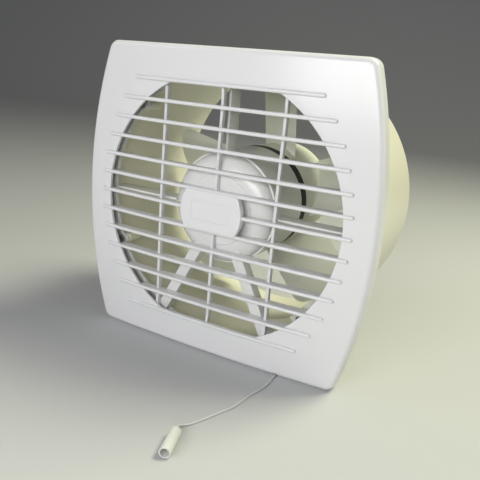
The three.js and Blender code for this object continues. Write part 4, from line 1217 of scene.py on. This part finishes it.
class FAN_OT_return_spring(bpy.types.Operator):
    """Build the switch's return spring, which shortens as the plunger comes down"""

    bl_idname = "fan.return_spring"
    bl_label = "Return spring"

    def execute(self, context):
        low, high = (np.array(corner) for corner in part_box("return_spring"))
        coil = coil_spring(context.scene.fan_cord, low - ORIGIN, high - ORIGIN)
        spring = make_piece("spring_coil", [coil], "zinc_plated_steel", None, 80)
        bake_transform(spring)
        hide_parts("return_spring")
        return {"FINISHED"}


class FAN_OT_pull_cord(bpy.types.Operator):
    """Build the twisted pull cord and its handle"""

    bl_idname = "fan.pull_cord"
    bl_label = "Pull cord"

    def execute(self, context):
        c = context.scene.fan_cord
        path = cord_path(c)
        lay = lambda distance, turn: turn - 2 * np.pi * distance / c.lay
        strands = lambda distance, turn: 0.9 + 0.1 * np.cos(3 * lay(distance, turn))
        twisted = tube(path, closed_ends(path, c.radius), 24, lobes=strands)
        cord = make_piece("cord", [twisted], "polyester_cord", None, 80)
        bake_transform(cord)
        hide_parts("pull_cord")
        handle = self.handle(c)
        return {"FINISHED"}

    def handle(self, c):
        """The hollow handle: a cup that the cord enters at its rounded end, lying on the table."""
        r, soft, length = c.handle_radius, c.handle_round, c.handle_length
        inner, lip, base = r - c.handle_wall, 0.35 * MM, 2.4 * MM
        profile = joined(
            [[c.cord_hole, 0.0]],
            arc((r - soft, soft), soft, -90, 0, 8),
            arc((r - lip, length - lip), lip, 0, 90, 4),
            arc((inner + lip, length - lip), lip, 90, 180, 4),
            [[inner, base], [c.cord_hole, base]],
        )
        points, faces = revolve(profile, 64)
        turn = math.pi - c.handle_turn
        cos, sin = math.cos(turn), math.sin(turn)
        points = points @ np.array([[cos, sin, 0], [-sin, cos, 0], [0, 0, 1]])
        x, y = HANDLE_START
        surface = shift((points, faces), x * MM, y * MM, -AXIS_Z + r)
        handle = make_piece("handle", [surface], "handle_plastic", "pull_cord")
        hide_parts("cord_handle")
        return handle


# ---------------------------------------------------------------- panel and main


class FAN_PT_panel(bpy.types.Panel):
    """Lists the steps that build the fan"""

    bl_label = "Exhaust fan"
    bl_idname = "FAN_PT_panel"
    bl_space_type = "VIEW_3D"
    bl_region_type = "UI"
    bl_category = "Exhaust fan"

    def draw(self, context):
        for operator in OPERATORS:
            self.layout.operator(operator.bl_idname)


OPERATORS = (
    FAN_OT_finishes,
    FAN_OT_stage,
    FAN_OT_return_spring,
    FAN_OT_pull_cord,
    FAN_OT_front_cover,
    FAN_OT_name_plate,
    FAN_OT_duct_housing,
    FAN_OT_motor_bracket,
    FAN_OT_end_cap,
    FAN_OT_impeller,
)


def register():
    for cls in (*GROUPS.values(), *OPERATORS, FAN_PT_panel):
        bpy.utils.register_class(cls)
    for name, group in GROUPS.items():
        setattr(bpy.types.Scene, name, bpy.props.PointerProperty(type=group))


def unregister():
    for name in GROUPS:
        delattr(bpy.types.Scene, name)
    for cls in reversed((*GROUPS.values(), *OPERATORS, FAN_PT_panel)):
        bpy.utils.unregister_class(cls)


def main():
    register()
    for operator in OPERATORS:
        group, name = operator.bl_idname.split(".")
        getattr(getattr(bpy.ops, group), name)()


if __name__ == "__main__":
    main()
